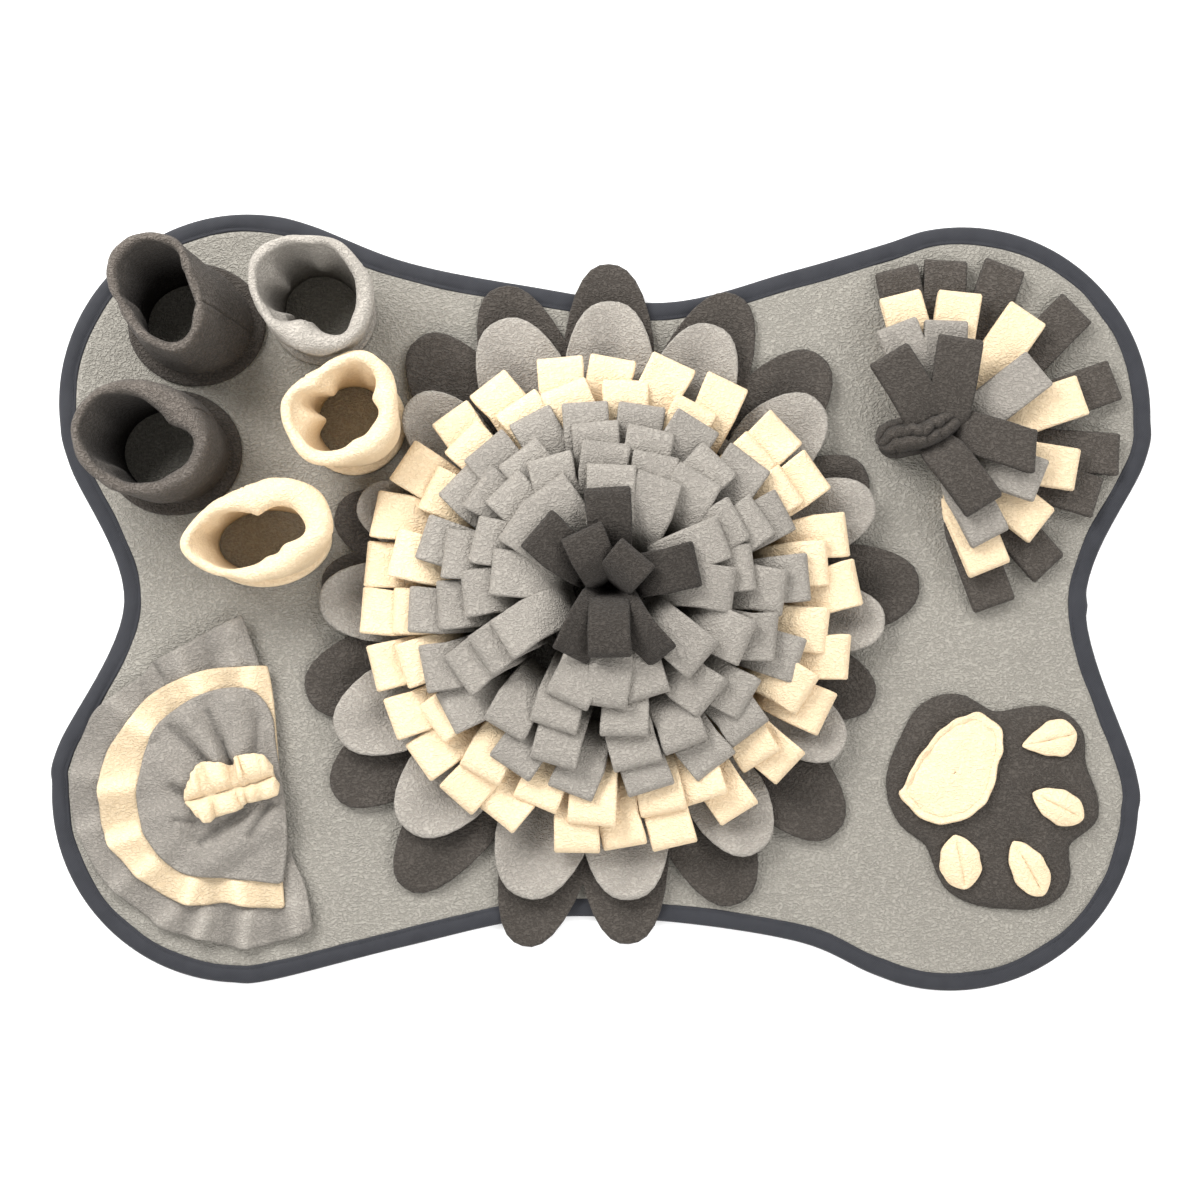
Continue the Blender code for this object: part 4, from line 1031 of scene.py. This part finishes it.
# painted light and shade: the ruffle is darker where it lies low and lighter where its folds stand up
shade = 0.78 + 0.22 * np.clip((fold[None, ::-1] - 0.2) / 3.6, 0, 1)
tint = np.concatenate([shell_tint(shade), np.full(len(thread[0]), 0.92)])
ruffle = add_piece("rosette_bow", *joined(cloth_shells(ruffle_grid[None, ::-1], FLEECE), thread),
                   cream_fleece, "rosette_ruffle", "cream_fleece", tint)

# ---------------------------------------------------------------- fan of strips
# Folded fleece strips in four rows, dark, cream, grey and dark, spread like a fan from one gathered
# seam that is drawn up tight in two rope-like folds.
FAN = (212.0, 98.0)
FAN_ROWS = {  # row: root radius, tip height, half thickness, width, (bearing, tip radius) of each strip
    "fan_dark": (44, 8.4, 3.4, 24.5, ((103.4, 116.5), (87, 119), (68.5, 124), (44.4, 126), (21.8, 121),
                                      (-1, 116), (-17.5, 107), (-46.4, 105), (-70, 107))),
    "fan_cream": (34, 18.0, 3.4, 25, ((103.8, 99), (83.5, 98), (57, 101), (20.8, 96), (-10.3, 88),
                                      (-37.6, 82), (-68, 84))),
    "fan_grey": (24, 27.0, 3.4, 25, ((110.8, 81), (88.5, 78), (39, 78), (-21, 66), (-62, 66))),
    "fan_top": (12, 35.0, 3.4, 25, ((121, 66), (81, 67), (-5, 57), (-58, 46))),
}
FAN_STARTS = {"fan_top": ((12, 0), (12, 0), (10, 16), (-3, -3))}  # root radius, shift to the left
FAN_TINTS = {"fan_dark": (1.10, 1.26), "fan_cream": (0.91, 0.99), "fan_grey": (0.86, 0.95),
             "fan_top": (0.95, 1.05)}


def fan_strips(row, seed, starts):
    """Strips as the fringe's loops, but each with its own reach, and no narrower than six tenths of
    their width at the root, where they lap over one another and start shifted to the side."""
    _, height, half, width, tips = row
    tips = np.array(tips, float)
    b, reach = np.radians(tips[:, 0]), tips[:, 1]
    dice = np.random.default_rng(seed)
    yaw, roll, dip, arch = dice.uniform(-1, 1, (4, len(b)))
    root, shifts = np.array(starts, float).T[:, :, None, None]
    line, share = hairpin(root[:, 0, 0], reach, height + 0.8 * dip, np.full(len(b), half), ROOT_LEVEL)
    wide = width / 2 * (0.55 + 0.45 * np.clip(share * 2.2, 0, 1)) * (1 + 0.04 * arch[:, None])
    wide, share = wide[..., None], share[None, :, None]
    u = np.array(LOOP_ACROSS)[None, None, :]
    radius = line[..., 0][..., None] + 0 * u
    lean = np.radians(5.0) * roll[:, None, None] * share
    z = line[..., 1][..., None] + u * wide * np.tan(lean) + 0.3 * u ** 2 * share
    side = u * wide + 2.0 * yaw[:, None, None] * ((radius - root) / 60) ** 2
    side = side + shifts * (1 - share) ** 0.8
    return round_about(FAN, b[:, None, None], radius, side, np.maximum(z, 5.5))


for seed, (name, row) in enumerate(FAN_ROWS.items(), 71):
    root, height, half, width, tips = row
    colour = "dark" if name == "fan_top" else name.replace("fan_", "")
    grids = fan_strips(row, seed, FAN_STARTS.get(name, [(root, 0)] * len(tips)))
    backing = band(root, FLOOR, 3.5, FAN, (-80, 122), 40)
    points, faces, tint = sewn_strips(grids, backing, seed + 90, *FAN_TINTS[name])
    piece = add_piece("strips_" + name, points, faces, cloths[colour], name, colour + "_fleece", tint)

ROPE_LINE = ((176, 99.5), (183, 102.5), (192, 105), (204, 107.5), (214, 112), (226, 118))
ROPE_HEIGHT = (13, 25, 31, 34, 35, 33.5, 31, 23)
ROPE_REACH = 11.5
ROPE_FOOT = 5.5
ROPE_RELIEF = 5.6  # how far the two folds stand over the hollow between them
u = np.linspace(0, 1, 61)[:, None]
v = np.linspace(-1, 1, 57)[None, :]
middle, run = along_line(ROPE_LINE, u[:, 0])
reach = ROPE_REACH * np.sqrt(np.clip(1 - (2 * u - 1) ** 4, 0.02, 1))
wiggle = 0.11 * np.sin(11 * u + 2) + 0.06 * np.sin(27 * u)
ropes = np.abs(np.sin((v + wiggle * (1 - v ** 2) + 0.12) * math.pi * 1.45))
x = middle[:, :1] - run[:, 1:] * v * reach
y = middle[:, 1:] + run[:, :1] * v * reach
dome = np.sqrt(np.clip(1 - np.abs(v) ** 3.2, 0, 1))
crest = smooth_table(ROPE_HEIGHT, u[:, 0])[:, None] - 11.0
z = ROPE_FOOT + crest * dome + ROPE_RELIEF * ropes ** 0.6 * dome
z += (0.9 * soft_waves(x, y, 81, 7) + 0.7 * np.sin(u * 46 + 3 * v)) * dome
grid = np.stack([x, y, z], -1)
# painted shade in the hollow between the two rope folds, lighter on their crests
gather = add_piece("fan_gathered_seam", *cloth_shells(grid[None, ::-1], FLEECE), dark_fleece,
                   "fan_gather", "dark_fleece", shell_tint(0.45 + 0.6 * ropes[None, ::-1] ** 0.7))

# ---------------------------------------------------------------- padded paw
# A stuffed paw of dark fleece sewn flat round its edge, with a cream sole whose raw edge stands up a
# little outside its stitching, and four cream toes, each a leaf sewn down along its middle.
PAW = (248.0, -126.0)
PAW_OUTLINE = (  # bearing, edge radius
    (-167, 61), (-145, 51), (-115, 64), (-83, 69), (-62, 75), (-48, 72), (-30, 57), (-9, 68),
    (21, 64), (39, 73), (55, 71), (88, 57), (109, 72), (126, 76), (145, 71), (172, 68),
)
PAW_DENTS = (  # creases and swells of the stuffing: x1, y1, x2, y2, half width, height
    (-50, 34, -62, 10, 6, 1.6), (-44, 52, -30, 62, 7, 1.2), (0, 8, 14, -14, 9, 1.4),
    (8, 40, 18, 56, 9, 1.0), (-8, -22, 2, -26, 2.0, -1.0), (20, -16, 28, -24, 3.0, -0.9),
    (34, -14, 30, -30, 4, 0.9), (-34, -26, -30, -48, 5, 1.0), (10, 20, 22, 24, 4, -0.8),
    (54, 14, 60, 24, 6, 0.8), (0, -60, 20, -62, 6, 0.9), (-20, 66, -8, 60, 5, -0.7),
)
PAW_COLUMNS = 200
PAW_CROWN = 10.4
PAW_UNDER = (  # share of the edge radius, height
    (0.1, 4.3), (0.5, 4.3), (0.9, 4.3), (0.965, 4.35), (0.992, 4.7),
)
SOLE_COLUMNS = 150
SOLE_SEAM = 0.885  # share of the way to the sole's edge at which its stitches run
SOLE_STITCHES = (3.0, 2.2, 0.55)
SOLE = (-26.0, 19.0)
SOLE_EDGE = (  # x and y from PAW, anticlockwise
    (-59.2, 4.8), (-45.3, -10), (-33.2, -12.2), (-15.9, -7.4), (-4.6, 6.5), (-0.2, 20.4),
    (4.1, 39.5), (1.5, 48.2), (-10.6, 55.6), (-19.3, 54.2), (-31.4, 47.3), (-43.6, 34.3),
    (-52.3, 20.4), (-57.4, 10),
)
TOES = (  # centre x and y from PAW, half length, half width, bearing of the slit, bulge of the far end
    (34.4, 39.5, 17.2, 9.6, 12, 0.36), (39.6, -2.1, 17.4, 9.6, -27, 0.14),
    (21, -41.5, 19.2, 10.0, -60, 0.12), (-21.9, -37.7, 16.8, 11.6, -78, 0.06),
)
PATCH_SEAT = 0.5  # air under a patch on the pad
TOE_STITCHES = (3.0, 2.2, 0.5)


def outline_radius(rows, bearings):
    """Edge radius at each bearing: the closed Catmull-Rom curve through an uneven table."""
    known, radii = np.array(rows, float).T
    order = np.argsort(known % 360)
    known, radii = known[order] % 360, radii[order]
    starts = np.concatenate([known, known[:1] + 360])
    spot = np.asarray(bearings, float) % 360
    spot = np.where(spot < known[0], spot + 360, spot)
    at = np.clip(np.searchsorted(starts, spot, side="right") - 1, 0, len(known) - 1)
    t = (spot - starts[at]) / (starts[at + 1] - starts[at])
    return catmull_rom(*(radii[(at + k) % len(known)] for k in (-1, 0, 1, 2)), t)


def paw_top(x, y):
    """Height of the pad over (x, y) from PAW: FLOOR + PAW_CROWN (1 - r^2.8)^0.5 at share r of the
    edge radius, with the dents and soft waves of the stuffing."""
    edge = outline_radius(PAW_OUTLINE, np.degrees(np.arctan2(y, x)))
    crown = (1 - np.clip(np.hypot(x, y) / edge, 0, 1) ** 2.8) ** 0.5
    dents = 1.5 * puckers(x, y, PAW_DENTS) + 0.5 * soft_waves(x, y, 41, 26)
    return FLOOR + PAW_CROWN * crown + dents * crown


around = np.radians(np.arange(PAW_COLUMNS) * 360 / PAW_COLUMNS)
edge_radius = outline_radius(PAW_OUTLINE, np.degrees(around))
shares = np.sin(np.linspace(0.02, 1, 40) * math.pi / 2)[:, None]
x, y = shares * edge_radius * np.cos(around), shares * edge_radius * np.sin(around)
upper = np.stack([x, y, paw_top(x, y)], -1)[::-1]
upper[0, :, 2] = 5.2
shares, heights = np.array(PAW_UNDER).T[:, :, None]
x, y = shares * edge_radius * np.cos(around), shares * edge_radius * np.sin(around)
under = np.stack([x, y, heights + 0 * x], -1)
points, faces, tips = capped(np.concatenate([under, upper]), (0, 0, FLOOR), (0, 0, paw_top(0.0, 0.0)))
points[:, :2] += PAW
pad = add_piece("paw_padding", points, faces, dark_fleece, "paw_pad", "dark_fleece", tips=tips)

rim = even_steps(spline_through(np.array(SOLE_EDGE, float), 12), SOLE_COLUMNS) - SOLE
around = np.arange(SOLE_COLUMNS) * 2 * math.pi / SOLE_COLUMNS
rim *= (1 + 0.012 * np.sin(13 * around + 1) + 0.010 * np.sin(7 * around))[:, None]
share = np.concatenate([np.linspace(0.03, 0.80, 14),
                        [0.84, 0.868, SOLE_SEAM, 0.90, 0.92, 0.95, 0.98, 1.0]])
stitch_row = int(np.searchsorted(share, SOLE_SEAM))
share = share[:, None]
x, y = (SOLE[k] + share * rim[:, k] for k in (0, 1))
lip = np.clip((share - SOLE_SEAM) / 0.115, 0, 1)
z = paw_top(x, y) + PATCH_SEAT + FLEECE / 2 + 0.9 * np.clip(1 - (share / 0.86) ** 4, 0, 1)
flutter = 1.5 + 0.7 * np.sin(11 * around) + 0.4 * np.sin(19 * around + 2)
z += lip ** 0.8 * flutter - 0.55 * np.exp(-((share - SOLE_SEAM) / 0.016) ** 2)
grid = np.stack([x, y, z], -1) + (*PAW, 0)
seam = grid[stitch_row] + (0, 0, FLEECE / 2 - 0.05)
thread = stitches(np.concatenate([seam, seam[:1]]), *SOLE_STITCHES)
sole = add_piece("paw_sole_patch", *joined(cloth_shells(grid[None], FLEECE, wraps=True), thread),
                 cream_fleece, "paw_sole", "cream_fleece")

a = np.sin(np.linspace(-1, 1, 37) * math.pi / 2)[:, None]
v = np.array([0.06, 0.14, 0.28, 0.5, 0.75, 0.93, 1])
v = np.concatenate([-v[::-1], [0], v])[None, :]
for number, (toe_x, toe_y, half_long, half_wide, slit, bulge) in enumerate(TOES, 1):
    outline = (1 - np.abs(a) ** 2.3) ** 0.72 * (1 + bulge * a * 1.6) + 0.03
    wobble = 1 + 0.035 * np.sin(9 * a + number) * np.sign(v)
    along_slit, off_slit = a * half_long, v * outline * wobble * half_wide
    turn = math.radians(slit)
    x = toe_x + along_slit * math.cos(turn) - off_slit * math.sin(turn)
    y = toe_y + along_slit * math.sin(turn) + off_slit * math.cos(turn)
    puff = (1 - np.abs(v) ** 2.5) * 2.1 * outline
    tuck = 1.5 * np.exp(-(v / 0.11) ** 2) * np.clip(outline * 2, 0, 1)
    z = paw_top(x, y) + PATCH_SEAT + FLEECE / 2 + puff - tuck
    grid = np.stack([x, y, z], -1) + (*PAW, 0)
    seam = grid[3:-3, v.size // 2] + (0, 0, FLEECE / 2 - 0.12)
    thread = stitches(seam, *TOE_STITCHES)
    toe = add_piece(f"paw_toe_leaf_{number}", *joined(cloth_shells(grid[None], FLEECE), thread),
                    cream_fleece, f"paw_toe_{number}", "cream_fleece")

bpy.context.view_layer.update()
